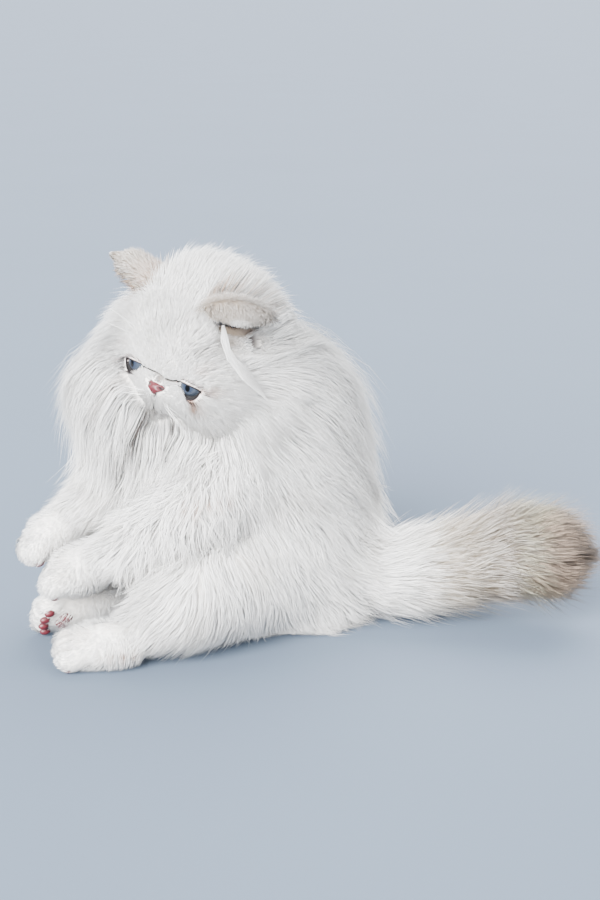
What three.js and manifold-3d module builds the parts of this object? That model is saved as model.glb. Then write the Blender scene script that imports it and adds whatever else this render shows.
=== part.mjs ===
// A life-size longhaired Persian kitten, sitting back on its rump with its hind legs stretched out.
// Millimetres, +Z up. The origin is on the floor, in the middle of the flat that the rump sits on.
// +X runs from the paws to the tail. The side that the cat shows is -Y, which is its own left.
import * as THREE from "three";
import { mergeVertices } from "three/addons/utils/BufferGeometryUtils.js";
import Module from "manifold-3d";

const wasm = await Module();
wasm.setup();

// Driving sizes
const GAP = 0.32; // between two nodes that touch
const BODY_YAW = 20; // degrees that the trunk faces away from -X, towards -Y
const HEAD_AT = [-61, -15, 173]; // middle of the skull
const HEAD_YAW = 34; // degrees from -Y towards -X
const HEAD_PITCH = 8; // degrees, nose down
const HEAD_ROLL = 14.8; // degrees, left ear down
const SKULL = { face: 38, nape: 45, side: 45, crown: 45.5, jaw: 43 }; // reach from the middle, bare skin
const THROAT = { at: [-7, 0, -10], way: [0.86, 0, 0.51] }; // cut between head and neck, in the head's frame
const COLLAR = { at: [-30, -4, 130], way: [-0.5, -0.15, 0.85] }; // cut between neck and trunk
const EYE = { radius: 9.4, forward: 29.4, side: 18.7, up: 0, outward: 12 };
const LID = 1.7; // thickness of an eyelid
const FLOOR_SIZE = 900;

const radians = THREE.MathUtils.degToRad;
const point = (p) => new THREE.Vector3(...p);
const fit = (x, low, high) => THREE.MathUtils.smoothstep(x, low, high);
const blend = THREE.MathUtils.lerp;

// A value read along a list of evenly spaced stations, eased from one to the next.
function along(list, s) {
  const x = THREE.MathUtils.clamp(s, 0, 1) * (list.length - 1);
  const i = Math.min(Math.floor(x), list.length - 2);
  return blend(list[i], list[i + 1], fit(x - i, 0, 1));
}

// A geometry with its shared vertices merged, as a solid.
function solid(geometry) {
  const bare = new THREE.BufferGeometry();
  bare.setAttribute("position", geometry.getAttribute("position"));
  bare.setIndex(geometry.index);
  const merged = mergeVertices(bare, 1e-3);
  const kept = [];
  for (let i = 0; i < merged.index.count; i += 3) {
    const [a, b, c] = [0, 1, 2].map((k) => merged.index.getX(i + k));
    if (a !== b && b !== c && a !== c) kept.push(a, b, c);
  }
  const made = new wasm.Manifold(
    new wasm.Mesh({
      numProp: 3,
      vertProperties: merged.attributes.position.array,
      triVerts: new Uint32Array(kept),
    }),
  );
  if (made.volume() > 0) return made;
  for (let i = 0; i < kept.length; i += 3) [kept[i + 1], kept[i + 2]] = [kept[i + 2], kept[i + 1]];
  return new wasm.Manifold(
    new wasm.Mesh({
      numProp: 3,
      vertProperties: merged.attributes.position.array,
      triVerts: new Uint32Array(kept),
    }),
  );
}

const joined = (solids) => wasm.Manifold.union(solids);
const cutBy = (body, solids) => (solids.length ? body.subtract(joined(solids)) : body);

// A form of flesh: an oval section carried along a smooth path, closed round at both ends.
// deep is its half size towards front, across is its half size sideways, both at even stations.
class Form {
  constructor({ path, front, deep, across, coat, blunt = 0.45, sides = 20, rings = 11 }) {
    this.curve = new THREE.CatmullRomCurve3(path.map(point), false, "centripetal");
    this.front = point(front);
    Object.assign(this, { deep, across, coat, blunt, sides, rings });
  }
  // The section's middle, its two axes and the way along the path, at share s of the path.
  station(s) {
    const t = THREE.MathUtils.clamp(s, 0, 1);
    const way = this.curve.getTangent(t);
    const a = this.front.clone().addScaledVector(way, -this.front.dot(way)).normalize();
    return { middle: this.curve.getPoint(t), way, a, b: new THREE.Vector3().crossVectors(way, a) };
  }
  // A point of the skin at share u round the section and w from end to end.
  skin(u, w) {
    const s = (1 - Math.cos(Math.PI * w)) / 2;
    const end = Math.pow(Math.max(0, Math.sin(Math.PI * w)), this.blunt);
    const { middle, a, b } = this.station(s);
    const turn = 2 * Math.PI * u;
    return middle
      .addScaledVector(a, Math.cos(turn) * along(this.deep, s) * end)
      .addScaledVector(b, Math.sin(turn) * along(this.across, s) * end);
  }
  normal(u, w) {
    const e = 1e-3;
    if (w < e || w > 1 - e) return this.station(w).way.multiplyScalar(w < 0.5 ? -1 : 1);
    const du = this.skin(u + e, w).sub(this.skin(u - e, w));
    const dw = this.skin(u, w + e / 2).sub(this.skin(u, w - e / 2));
    return du.cross(dw).normalize();
  }
  depth(u, w) {
    return along(this.coat, (1 - Math.cos(Math.PI * w)) / 2);
  }
  // A point at share of the coat's depth over the skin, and extra millimetres more.
  over(u, w, share, extra = 0) {
    return this.skin(u, w).addScaledVector(this.normal(u, w), this.depth(u, w) * share + extra);
  }
  // Where a point is: how far out, with 1 at share of the coat's depth, and the way outwards there.
  locate(p, share = 1) {
    let s = 0;
    let nearest = Infinity;
    for (let i = 0; i <= 24; i++) {
      const gap = this.curve.getPoint(i / 24).distanceTo(p);
      if (gap < nearest) [nearest, s] = [gap, i / 24];
    }
    const { middle, way, a, b } = this.station(s);
    const off = p.clone().sub(middle);
    const end = Math.pow(2 * Math.sqrt(s * (1 - s)), this.blunt);
    const coat = along(this.coat, s) * share + 0.1;
    const halves = [along(this.deep, s) * end + coat, along(this.across, s) * end + coat, coat];
    const lengthwise = s === 0 || s === 1 ? off.dot(way) : 0;
    const inOval = [off.dot(a), off.dot(b), lengthwise].map((x, i) => x / halves[i]);
    const out = [a, b, way].reduce((v, axis, i) => v.addScaledVector(axis, inOval[i] / halves[i]), point([0, 0, 0]));
    const reach = Math.hypot(...inOval);
    return { reach, out: out.normalize(), radius: off.length() / Math.max(reach, 0.05) };
  }
  solid(share, extra = 0) {
    const shape = new THREE.SphereGeometry(1, this.sides, this.rings);
    const { position, uv } = shape.attributes;
    for (let i = 0; i < position.count; i++) {
      const w = Math.round(uv.getY(i) * this.rings) / this.rings;
      const u = w === 0 || w === 1 ? 0 : (Math.round(uv.getX(i) * this.sides) % this.sides) / this.sides;
      position.setXYZ(i, ...this.over(u, w, share, extra));
    }
    return solid(shape);
  }
}

// The head's own frame: forward, to the cat's left, and up.
const headFrame = (() => {
  const [yaw, pitch] = [radians(HEAD_YAW), radians(HEAD_PITCH)];
  const forward = new THREE.Vector3(
    -Math.sin(yaw) * Math.cos(pitch), -Math.cos(yaw) * Math.cos(pitch), -Math.sin(pitch));
  const left = new THREE.Vector3(Math.cos(yaw), -Math.sin(yaw), 0).applyAxisAngle(forward, -radians(HEAD_ROLL));
  const up = new THREE.Vector3().crossVectors(forward, left);
  return new THREE.Matrix4().makeBasis(forward, left, up).setPosition(...HEAD_AT);
})();
const onHead = (p) => point(p).applyMatrix4(headFrame);
const headWay = (p) => point(p).transformDirection(headFrame);

// Swellings and hollows of the face: way from the middle of the skull, height, spread in radians.
const FACE = [
  ...[-1, 1].flatMap((side) => [
    { way: [0.92, 0.17 * side, -0.36], height: 5, spread: 0.16 }, // whisker pad
    { way: [0.66, 0.6 * side, -0.42], height: 7, spread: 0.4 }, // cheek
    { way: [0.84, 0.34 * side, 0.36], height: 4, spread: 0.24 }, // brow
    { way: [0.85, 0.46 * side, 0.06], height: 3.2, spread: 0.42 }, // flat of the face round the eye
    { way: [0.885, 0.43 * side, -0.03], height: -3.6, spread: 0.17 }, // eye socket
  ]),
  { way: [0.98, 0, -0.2], height: 2.4, spread: 0.12 }, // nose
  { way: [0.8, 0, -0.6], height: 8, spread: 0.17 }, // chin
  { way: [0.99, 0, 0.03], height: -2, spread: 0.1 }, // break over the nose
];
for (const f of FACE) f.unit = point(f.way).normalize();

const head = {
  sides: 32,
  rings: 22,
  // Reach of the bare head in a unit direction of its own frame.
  reach(d) {
    const oval = Math.hypot(
      d.x / (d.x > 0 ? SKULL.face : SKULL.nape), d.y / SKULL.side, d.z / (d.z > 0 ? SKULL.crown : SKULL.jaw));
    return FACE.reduce((r, f) => r + f.height * Math.exp(-((d.angleTo(f.unit) / f.spread) ** 2)), 1 / oval);
  },
  // Depth of the coat: nearly bare on the face, deep on the crown, deepest on the cheeks.
  depth(d) {
    const fromFace = d.angleTo(point([0.98, 0, -0.2]).normalize());
    const cheek = fit(Math.abs(d.y), 0.45, 0.9) * fit(-d.z, -0.3, 0.3);
    return 1.2 + 6 * fit(fromFace, 0.4, 1) + 14 * fit(fromFace, 1.4, 2) + 20 * cheek * fit(fromFace, 0.8, 1.5);
  },
  over(d, share, extra = 0) {
    return d.clone().multiplyScalar(this.reach(d) + this.depth(d) * share + extra).applyMatrix4(headFrame);
  },
  locate(p, share = 1) {
    const d = p.clone().applyMatrix4(headFrame.clone().invert());
    const away = d.length();
    d.normalize();
    const radius = this.reach(d) + this.depth(d) * share;
    return { reach: away / radius, out: d.transformDirection(headFrame), radius };
  },
  solid(share, extra = 0) {
    const shape = new THREE.SphereGeometry(1, this.sides, this.rings);
    const { position, uv } = shape.attributes;
    for (let i = 0; i < position.count; i++) {
      const w = Math.round((1 - uv.getY(i)) * this.rings) / this.rings;
      const fromFront = Math.PI * Math.pow(w, 1.5);
      const turn = 2 * Math.PI * (Math.round(uv.getX(i) * this.sides) % this.sides) / this.sides;
      const ring = w === 0 || w === 1 ? 0 : Math.sin(fromFront);
      const d = point([Math.cos(fromFront), Math.cos(turn) * ring, Math.sin(turn) * ring]).normalize();
      position.setXYZ(i, ...this.over(d, share, extra));
    }
    return solid(shape);
  },
};

// An oval ball, turned by a basis and set in place.
function ball(middle, [x, y, z], basis, sides = 12, rings = 8) {
  const shape = new THREE.SphereGeometry(1, sides, rings).scale(x, y, z);
  return solid(shape.applyMatrix4(basis.clone().setPosition(middle)));
}

// Eyes: a ball behind an opening between the lids, which is flat above and round below.
const eyeMiddle = (side) => onHead([EYE.forward, EYE.side * side, EYE.up]);
const eyeBasis = (side) => {
  const out = radians(EYE.outward) * side;
  const way = headWay([Math.cos(out), Math.sin(out), 0]);
  const up = headWay([0, 0, 1]);
  return new THREE.Matrix4().makeBasis(way, new THREE.Vector3().crossVectors(up, way), up);
};
const eyeBall = (side, extra) => ball(
  eyeMiddle(side), Array(3).fill(EYE.radius + extra), eyeBasis(side), 14, 8);

const OPENING = { half: 7.3, above: 1.7, below: 6.8 }; // of the lids
function lidOpening(side) {
  const outline = new THREE.Shape();
  outline.moveTo(-OPENING.half, 0.8);
  outline.quadraticCurveTo(0, OPENING.above * 2 - 0.8, OPENING.half, 0.8);
  outline.bezierCurveTo(
    OPENING.half * 0.7, -OPENING.below * 1.3, -OPENING.half * 0.7, -OPENING.below * 1.3, -OPENING.half, 0.8);
  const shape = new THREE.ExtrudeGeometry(outline, { depth: 30, bevelEnabled: false, curveSegments: 7 });
  const basis = eyeBasis(side);
  const [way, sideways, up] = [0, 1, 2].map((i) => new THREE.Vector3().setFromMatrixColumn(basis, i));
  const turned = new THREE.Matrix4().makeBasis(sideways, up, way).setPosition(eyeMiddle(side));
  return solid(shape.applyMatrix4(turned));
}

// The nose leather: a small rounded wedge with two nostrils.
const NOSE = { at: [40.9, 0, -9.2], half: [3.6, 5, 3.2], nostril: 0.95 };
const noseSolid = (extra) => ball(
  onHead(NOSE.at), NOSE.half.map((x) => x + extra), new THREE.Matrix4().extractRotation(headFrame), 12, 8);
const nostrils = () => [-1, 1].map((side) => ball(
  onHead([NOSE.at[0] + 3.1, 2.3 * side, NOSE.at[2] - 0.3]), [2.4, NOSE.nostril * 1.3, NOSE.nostril],
  new THREE.Matrix4().extractRotation(headFrame), 6, 4));

// The line of the mouth: down from the nose, then out and down under each whisker pad.
function mouthLine() {
  const profile = new THREE.Shape(new THREE.EllipseCurve(0, 0, 1.1, 1.1).getPoints(6));
  const lip = (way) => {
    const d = point(way).normalize();
    return d.multiplyScalar(head.reach(d) + head.depth(d) + 0.2).applyMatrix4(headFrame);
  };
  const lines = [
    [[0.955, 0, -0.297], [0.93, 0, -0.37], [0.905, 0, -0.42]],
    ...[-1, 1].map((side) => [
      [0.905, 0, -0.42], [0.885, 0.08 * side, -0.46], [0.85, 0.17 * side, -0.5], [0.8, 0.27 * side, -0.52]]),
  ];
  return lines.map((line) => solid(new THREE.ExtrudeGeometry(profile, {
    extrudePath: new THREE.CatmullRomCurve3(line.map(lip)), steps: 5, bevelEnabled: false })));
}

// Ears: a small round-tipped leaf, cupped on the side that faces forward and down.
const EARS = {
  right: { base: [3, -36, 23], tip: [5, -71, 41], open: [0.73, -0.12, -0.64] },
  left: { base: [11, 28, 28], tip: [21, 54, 41], open: [0.62, 0.09, -0.71] },
};
function earForm(name, inner) {
  const { base, tip, open } = EARS[name];
  const [from, to] = [onHead(base), onHead(tip)];
  const way = to.clone().sub(from);
  const shift = headWay(open).multiplyScalar(inner ? 5 : 0);
  const mid = from.clone().addScaledVector(way, 0.55).addScaledVector(headWay(open), -2.5);
  const start = from.clone().addScaledVector(way, inner ? 0.12 : -0.3);
  const end = from.clone().addScaledVector(way, inner ? 0.93 : 1);
  return new Form({
    path: [start, mid, end].map((p) => p.add(shift).toArray()),
    front: headWay(open).toArray(),
    deep: inner ? [5.5, 5.5, 3.5] : [8, 7.4, 3],
    across: inner ? [12, 13, 4.5] : [16, 17, 6],
    coat: [2, 1.6, 1],
    blunt: 0.6, sides: 13, rings: 8,
  });
}
const earSolid = (name, extra = 0) => earForm(name, false).solid(extra ? 1 : 0.9, extra);
const earCup = (name) => earForm(name, true).solid(0);

const turnAbout = (yaw) => [-Math.cos(radians(yaw)), -Math.sin(radians(yaw)), 0];
const FORWARD = turnAbout(BODY_YAW);

// The trunk and its limbs. Paths run from the root outwards.
const forms = {
  torso: new Form({
    path: [[-8, 0, -9], [-14, 3, 30], [-20, 3, 70], [-22, 0, 110], [-27, -5, 145], [-34, -8, 172]],
    front: FORWARD, coat: [12, 17, 20, 22, 26, 30],
    deep: [44, 54, 55, 51, 47, 36], across: [58, 57, 54, 50, 48, 40], sides: 22, rings: 12,
  }),
  neck: new Form({
    path: [[-38, 4, 92], [-55, 6, 128], [-64, 6, 160], [-68, 6, 188]],
    front: turnAbout(5), coat: [24, 34, 38, 34], deep: [46, 56, 60, 56], across: [44, 46, 44, 38],
    sides: 22, rings: 11,
  }),
  foreleg_left: new Form({
    path: [[-22, -40, 112], [-76, -64, 76], [-132, -62, 52]],
    front: [0, 0, 1], coat: [14, 14, 6], deep: [22, 14, 9], across: [18, 13, 9.5], sides: 12, rings: 8,
  }),
  foreleg_right: new Form({
    path: [[-44, 18, 112], [-98, 2, 91], [-154, -20, 62]],
    front: [0, 0, 1], coat: [14, 18, 7], deep: [22, 14, 9], across: [18, 13, 9.5], sides: 12, rings: 8,
  }),
  hindleg_left: new Form({
    path: [[-2, -30, 42], [-60, -72, 38], [-104, -92, 17]],
    front: [0, 0, 1], coat: [12, 13, 7], deep: [34, 23, 10], across: [26, 20, 10], sides: 14, rings: 9,
  }),
  hindleg_right: new Form({
    path: [[-24, 34, 42], [-86, 18, 40], [-124, -27, 19]],
    front: [0, 0, 1], coat: [12, 12, 6], deep: [34, 21, 10], across: [26, 18, 10], sides: 14, rings: 9,
  }),
  tail_root: new Form({
    path: [[24, 4, 27], [50, -7, 29], [78, -10, 31]],
    front: [0, 0, 1], coat: [24, 26, 27], deep: [9, 8, 7], across: [9, 8, 7], sides: 12, rings: 8,
  }),
  tail_middle: new Form({
    path: [[62, -8, 30], [93, -10, 35], [124, -10, 43]],
    front: [0, 0, 1], coat: [27, 29, 31], deep: [7, 6, 6], across: [7, 6, 6], sides: 12, rings: 8,
  }),
  tail_tip: new Form({
    path: [[108, -9, 38], [131, -11, 44], [151, -19, 46]],
    front: [0, 0, 1], coat: [26, 32, 34], deep: [6, 5.5, 5], across: [6, 5.5, 5], sides: 12, rings: 10,
  }),
};

// A paw: a low foot with four toes, a large pad and four toe pads under it.
const TOES = [-1.5, -0.5, 0.5, 1.5];
const PAW = { half: 12, thick: 11, toe: 6.2, toeGap: 6.3, pad: 7 };
function paw({ heel, toes, up, size = 1 }, extra) {
  const [from, to] = [point(heel), point(toes)];
  const way = to.clone().sub(from).normalize();
  const side = new THREE.Vector3().crossVectors(point(up), way).normalize();
  const top = new THREE.Vector3().crossVectors(way, side);
  const basis = new THREE.Matrix4().makeBasis(way, side, top);
  const place = (f, s, u) => to.clone().addScaledVector(way, f * size)
    .addScaledVector(side, s * size).addScaledVector(top, u * size);
  const foot = new Form({
    path: [heel, from.clone().lerp(to, 0.5).toArray(), toes],
    front: top.toArray(), coat: [0, 0, 0], blunt: 0.5, sides: 9, rings: 5,
    deep: [12, 12, PAW.thick].map((x) => x * size), across: [13, 13, PAW.half].map((x) => x * size),
  });
  const sized = (x) => x * size + extra;
  return joined([
    foot.solid(0, extra),
    ...TOES.map((i) => ball(
      place(1.5 - Math.abs(i) * 1.6, i * PAW.toeGap, -1.2),
      [PAW.toe * 1.35, PAW.toe * 0.8, PAW.toe * 1.15].map(sized), basis, 6, 4)),
    ...TOES.map((i) => ball(
      place(3.4 - Math.abs(i) * 1.9, i * PAW.toeGap, -7.4), [3.4, 2.4, 1.8].map(sized), basis, 5, 4)),
    ball(place(-9, 0, -8.6), [6, PAW.pad, 3.2].map(sized), basis, 7, 4),
  ]);
}
const paws = {
  forepaw_left: { heel: [-117, -63, 55], toes: [-147, -60, 45], up: [-0.25, -0.15, 1], size: 1.12 },
  forepaw_right: { heel: [-140, -15, 67], toes: [-166, -26, 52], up: [-0.5, -0.1, 1], size: 1.08 },
  hindpaw_left: { heel: [-92, -90, 15], toes: [-135, -97, 13.5], up: [0, -0.35, 1], size: 1.05 },
  hindpaw_right: { heel: [-113, -23, 18], toes: [-156, -44, 16.5], up: [-0.35, 0.75, 0.65], size: 1.05 },
};

// Half of space, on the side of a plane that the way points to, as a large box.
function halfSpace(at, way, shift = 0) {
  const shape = new THREE.BoxGeometry(FLOOR_SIZE, FLOOR_SIZE, FLOOR_SIZE);
  const turned = new THREE.Quaternion().setFromUnitVectors(new THREE.Vector3(0, 0, 1), way);
  const middle = at.clone().addScaledVector(way, FLOOR_SIZE / 2 + shift);
  return solid(shape.applyQuaternion(turned).translate(...middle));
}
// The planes that part two nodes: the first keeps the side that the way points to.
const throat = [onHead(THROAT.at), headWay(THROAT.way)];
const collar = [point(COLLAR.at), point(COLLAR.way).normalize()];
const across = (form, s) => [form.station(s).middle, form.station(s).way.negate()];
const wrist = ({ heel, toes }, share) => {
  const [from, to] = [point(heel), point(toes)];
  return [from.clone().lerp(to, share), to.clone().sub(from).normalize()];
};
const CUTS = [
  ["head", "neck", throat],
  ["neck", "torso", collar],
  ["tail_middle", "tail_tip", across(forms.tail_tip, 0.25)],
  ["tail_root", "tail_middle", across(forms.tail_middle, 0.2)],
  ...["forepaw_left", "forepaw_right", "hindpaw_left", "hindpaw_right"].map(
    (name) => [name, name.replace("paw", "leg"), wrist(paws[name], 0.25)]),
];
function trimmed(name, body) {
  return CUTS.reduce((rest, [before, after, [at, way]]) => {
    if (name === before) return rest.intersect(halfSpace(at, way));
    if (name === after) return rest.intersect(halfSpace(at, way.clone().negate(), GAP));
    return rest;
  }, body);
}

// Seeded random numbers from low to high, so that every build gives the same coat.
let seed = 20;
function random(low, high) {
  seed = (seed + 0x6d2b79f5) | 0;
  let t = Math.imul(seed ^ (seed >>> 15), 1 | seed);
  t = (t + Math.imul(t ^ (t >>> 7), 61 | t)) ^ t;
  return low + ((high - low) * ((t ^ (t >>> 14)) >>> 0)) / 4294967296;
}

// One lock of the coat, as stations along its middle. It leaves the core, follows the lie and
// ends at the coat's outside. It hangs free where its form turns away, and clears other forms.
const STEPS = 3;
const TAPER = [0.7, 1, 0.72, 0]; // of a lock's width, from root to tip
function lock(form, root, lie, { length, width, thick }, clearOf) {
  const size = random(0.8, 1.2);
  const turn = random(-0.3, 0.3);
  const rise = random(0.92, 1.04);
  const step = (length * size) / STEPS;
  const stations = [];
  let at = root.clone();
  let way = null;
  for (let k = 0; k <= STEPS; k++) {
    const f = k / STEPS;
    const { out } = form.locate(at);
    const wish = lie(at, out).clone().applyAxisAngle(out, turn * (0.4 + f));
    wish.addScaledVector(out, -wish.dot(out)).normalize();
    way = way ? way.multiplyScalar(0.5).add(wish.multiplyScalar(0.6)).normalize() : wish;
    if (k > 0) at.addScaledVector(way, step);
    const here = form.locate(at, SINK + (rise - SINK) * Math.pow(f, 0.8));
    const off = (1 - here.reach) * here.radius;
    at.addScaledVector(here.out, off > 0 ? off : Math.max(off, -0.12 * step));
    for (const other of clearOf) {
      const there = other.locate(at, CORE + 0.15);
      if (there.reach < 1) at.addScaledVector(there.out, (1 - there.reach) * there.radius);
    }
    at.z = Math.max(at.z, thick);
    const broad = TAPER[k] * width * size;
    stations.push({ at: at.clone(), out: here.out, half: broad / 2, thick: k === STEPS ? 0 : thick });
  }
  return root.distanceTo(at) > 0.6 * length * size ? stations : null;
}

// The solid of a lock: a flat blade with a low ridge, and extra millimetres all round.
function blade(stations, extra) {
  const shape = new THREE.CylinderGeometry(1, 1, STEPS, 3, STEPS);
  const { position } = shape.attributes;
  for (let i = 0; i < position.count; i++) {
    const k = Math.round(STEPS / 2 - position.getY(i));
    const { at, out, half, thick } = stations[k];
    const way = stations[Math.min(k + 1, STEPS)].at.clone().sub(stations[Math.max(k - 1, 0)].at).normalize();
    const side = new THREE.Vector3().crossVectors(way, out).normalize();
    const up = new THREE.Vector3().crossVectors(side, way);
    const [across, over] = k === STEPS ? [0, 0] : [half + extra * 4, thick + extra * 3];
    position.setXYZ(i, ...at.clone()
      .addScaledVector(side, position.getX(i) * across * 1.15)
      .addScaledVector(up, position.getZ(i) * over)
      .addScaledVector(way, extra * [-4, 0, 0, 4][k]));
  }
  return solid(shape);
}

// Sizes of locks and the lie of the coat
const CORE = 0.5; // how far the core fills the coat's depth
const SINK = 0.36; // share of the coat's depth at which a lock starts
const LOCKS = {
  head: { length: 46, width: 26, thick: 3.6 },
  ruff: { length: 62, width: 30, thick: 4.6 },
  fan: { length: 50, width: 24, thick: 3.6 },
  body: { length: 70, width: 34, thick: 4.8 },
  leg: { length: 42, width: 22, thick: 3.2 },
  tail: { length: 46, width: 24, thick: 4 },
  tuft: { length: 36, width: 8, thick: 1.8 },
};
const lies = {
  head(p) {
    const d = p.clone().applyMatrix4(headFrame.clone().invert()).normalize();
    return headWay([d.x * 1.5 - 1.8, d.y * 1.5, d.z * 1.5]).add(point([0, 0, -0.3 - 0.5 * fit(-d.z, -0.3, 0.4)]));
  },
  ruff(p) {
    const d = p.clone().applyMatrix4(headFrame.clone().invert());
    return headWay([0, d.y, d.z]).multiplyScalar(0.55).add(point([0.1, 0, -0.75]));
  },
  body: () => point([0.36, -0.04, -0.93]),
};
const limbLie = (form, droop) => (p) => {
  const nearest = [0, 0.25, 0.5, 0.75, 1].reduce((a, b) => (
    form.station(b).middle.distanceTo(p) < form.station(a).middle.distanceTo(p) ? b : a));
  return form.station(nearest).way.add(point([0, 0, -droop])).normalize();
};

// Rows of locks on a form of the trunk: shares w along its path and how many go round in each.
function rows(name, list, size, lie) {
  const form = forms[name];
  const others = Object.entries(forms).filter(([n]) => n !== name).map(([, f]) => f).concat(head);
  return list.flatMap(([w, count], row) => Array.from({ length: count }, (_, i) => {
    const u = (i + (row % 2) / 2 + random(-0.22, 0.22)) / count;
    const root = form.over(u, w + random(-0.02, 0.02), SINK);
    const seen = form.over(u, w, CORE);
    if (seen.z < 6 || others.some((other) => other.locate(seen, CORE).reach < 0.97)) return null;
    if (CUTS.some(([before, after, [at, way]]) => {
      const over = seen.clone().sub(at).dot(way);
      return (name === before && over < 2) || (name === after && over > -2);
    })) return null;
    return lock(form, root, lie, size, others.filter((other) => other !== head));
  })).filter(Boolean);
}

// Rows of locks on the head: angles from the face and how many go round in each.
function headRows(list, size) {
  return list.flatMap(([angle, count], row) => Array.from({ length: count }, (_, i) => {
    const turn = (2 * Math.PI * (i + (row % 2) / 2 + random(-0.2, 0.2))) / count;
    const d = point([Math.cos(angle), Math.cos(turn) * Math.sin(angle), Math.sin(turn) * Math.sin(angle)]);
    const seen = head.over(d, CORE);
    const ear = Object.values(EARS).some(({ base }) => onHead(base).distanceTo(seen) < 17);
    if (ear || seen.clone().sub(throat[0]).dot(throat[1]) < 3) return null;
    return lock(head, head.over(d, SINK), lies.head, size, []);
  })).filter(Boolean);
}

// Locks of the ruff that fan out round the face, along the cut of the throat, from radius start.
function fan(count, start, size, low) {
  const [, normal] = throat;
  const ring = (turn, r) => {
    const [y, z] = [Math.cos(turn) * r, Math.sin(turn) * r];
    const x = THROAT.at[0] - ((z - THROAT.at[2]) * THROAT.way[2]) / THROAT.way[0];
    return onHead([x, y, z]);
  };
  return Array.from({ length: count }, (_, i) => {
    const turn = low + ((i + random(-0.2, 0.2)) / count) * 2 * Math.PI;
    if (Math.sin(turn) > 0.75) return null;
    let rim = start;
    while (rim < 120 && forms.neck.locate(ring(turn, rim)).reach < 1) rim += 2;
    if (rim < start + 8) return null;
    const length = Math.max(rim - start, 30) * random(0.9, 1.08);
    const broad = size.width * random(0.85, 1.15);
    return Array.from({ length: STEPS + 1 }, (__, k) => {
      const f = k / STEPS;
      const at = ring(turn + f * f * random(-0.06, 0.06), start + length * f)
        .addScaledVector(normal, -1.5 + 5 * Math.sin(2.2 * f))
        .add(point([0, 0, -7 * f * f]));
      return { at, out: normal, half: (TAPER[k] * broad) / 2, thick: k === STEPS ? 0 : size.thick };
    });
  }).filter(Boolean);
}

// Long hairs that hang out of an ear's cup.
function tufts(name) {
  const { base, tip, open } = EARS[name];
  const [from, to, out] = [onHead(base), onHead(tip), headWay(open)];
  return [0.12, 0.4].map((share, i) => {
    const root = from.clone().lerp(to, share).addScaledVector(out, 1);
    const away = to.clone().sub(from).normalize();
    const lie = () => out.clone().multiplyScalar(0.5).addScaledVector(away, 0.15 + 0.2 * i).add(point([0.3, 0, -0.8]));
    let at = root.clone();
    return Array.from({ length: STEPS + 1 }, (_, k) => {
      if (k > 0) at.addScaledVector(lie().normalize(), LOCKS.tuft.length / STEPS);
      const there = head.locate(at, 1.1);
      if (k > 0 && there.reach < 1) at.addScaledVector(there.out, (1 - there.reach) * there.radius);
      const half = (TAPER[k] * LOCKS.tuft.width) / 2;
      return { at: at.clone(), out: there.out, half, thick: k === STEPS ? 0 : LOCKS.tuft.thick };
    });
  });
}

// Nodes in the order in which each gives way to those before it.
const cores = new Map();
const grown = new Map();
function enter(name, core, wider, locks = []) {
  const body = joined([trimmed(name, core), ...locks.map((stations) => blade(stations, 0))]);
  const near = body.boundingBox();
  const touching = [...grown.values()].filter((g) => {
    const box = g.boundingBox();
    return [0, 1, 2].every((i) => box.min[i] < near.max[i] && box.max[i] > near.min[i]);
  });
  cores.set(name, cutBy(body, touching));
  grown.set(name, joined([body, trimmed(name, wider), ...locks.map((stations) => blade(stations, GAP))]));
}

const SIDES = { left: 1, right: -1 };
for (const [name, side] of Object.entries(SIDES)) enter(`eye_${name}`, eyeBall(side, 0), eyeBall(side, GAP));

const lids = (extra) => [1, -1].map((side) => eyeBall(side, LID + extra));
enter("nose", cutBy(noseSolid(0), nostrils()), noseSolid(GAP));
for (const name of ["left", "right"]) {
  enter(`ear_${name}`, earSolid(name).subtract(earCup(name)), earSolid(name, GAP), tufts(name));
}
enter("head", cutBy(joined([head.solid(CORE), ...lids(0)]), [...[1, -1].map(lidOpening), ...mouthLine()]),
  joined([head.solid(CORE, GAP), ...lids(GAP)]), headRows([[1.05, 6], [1.4, 8], [1.8, 8], [2.2, 6]], LOCKS.head));
for (const [name, shape] of Object.entries(paws)) enter(name, paw(shape, 0), paw(shape, GAP));
const limb = (name, list, size, droop) => rows(name, list, size, limbLie(forms[name], droop));
const coats = {
  neck: [
    ...rows("neck", [[0.86, 6], [0.7, 9], [0.54, 10], [0.36, 9]], LOCKS.ruff, lies.ruff),
    ...fan(14, 44, LOCKS.fan, 0), ...fan(12, 62, LOCKS.fan, 0.2)],
  foreleg_left: limb("foreleg_left", [[0.35, 4], [0.58, 4]], LOCKS.leg, 0.5),
  foreleg_right: limb("foreleg_right", [[0.35, 4], [0.58, 5]], LOCKS.leg, 0.5),
  hindleg_left: limb("hindleg_left", [[0.35, 5], [0.58, 5]], LOCKS.leg, 0.3),
  hindleg_right: limb("hindleg_right", [[0.35, 5], [0.58, 5]], LOCKS.leg, 0.3),
  tail_tip: limb("tail_tip", [[0.38, 5], [0.62, 6], [0.86, 4]], LOCKS.tail, 0),
  tail_middle: limb("tail_middle", [[0.25, 6], [0.6, 6]], LOCKS.tail, 0),
  tail_root: limb("tail_root", [[0.35, 5], [0.65, 5]], LOCKS.tail, 0),
  torso: rows("torso", [[0.84, 8], [0.68, 9], [0.52, 11], [0.36, 9], [0.22, 9]], LOCKS.body, lies.body),
};
for (const [name, locks] of Object.entries(coats)) {
  enter(name, forms[name].solid(CORE), forms[name].solid(CORE, GAP), locks);
}

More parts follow.
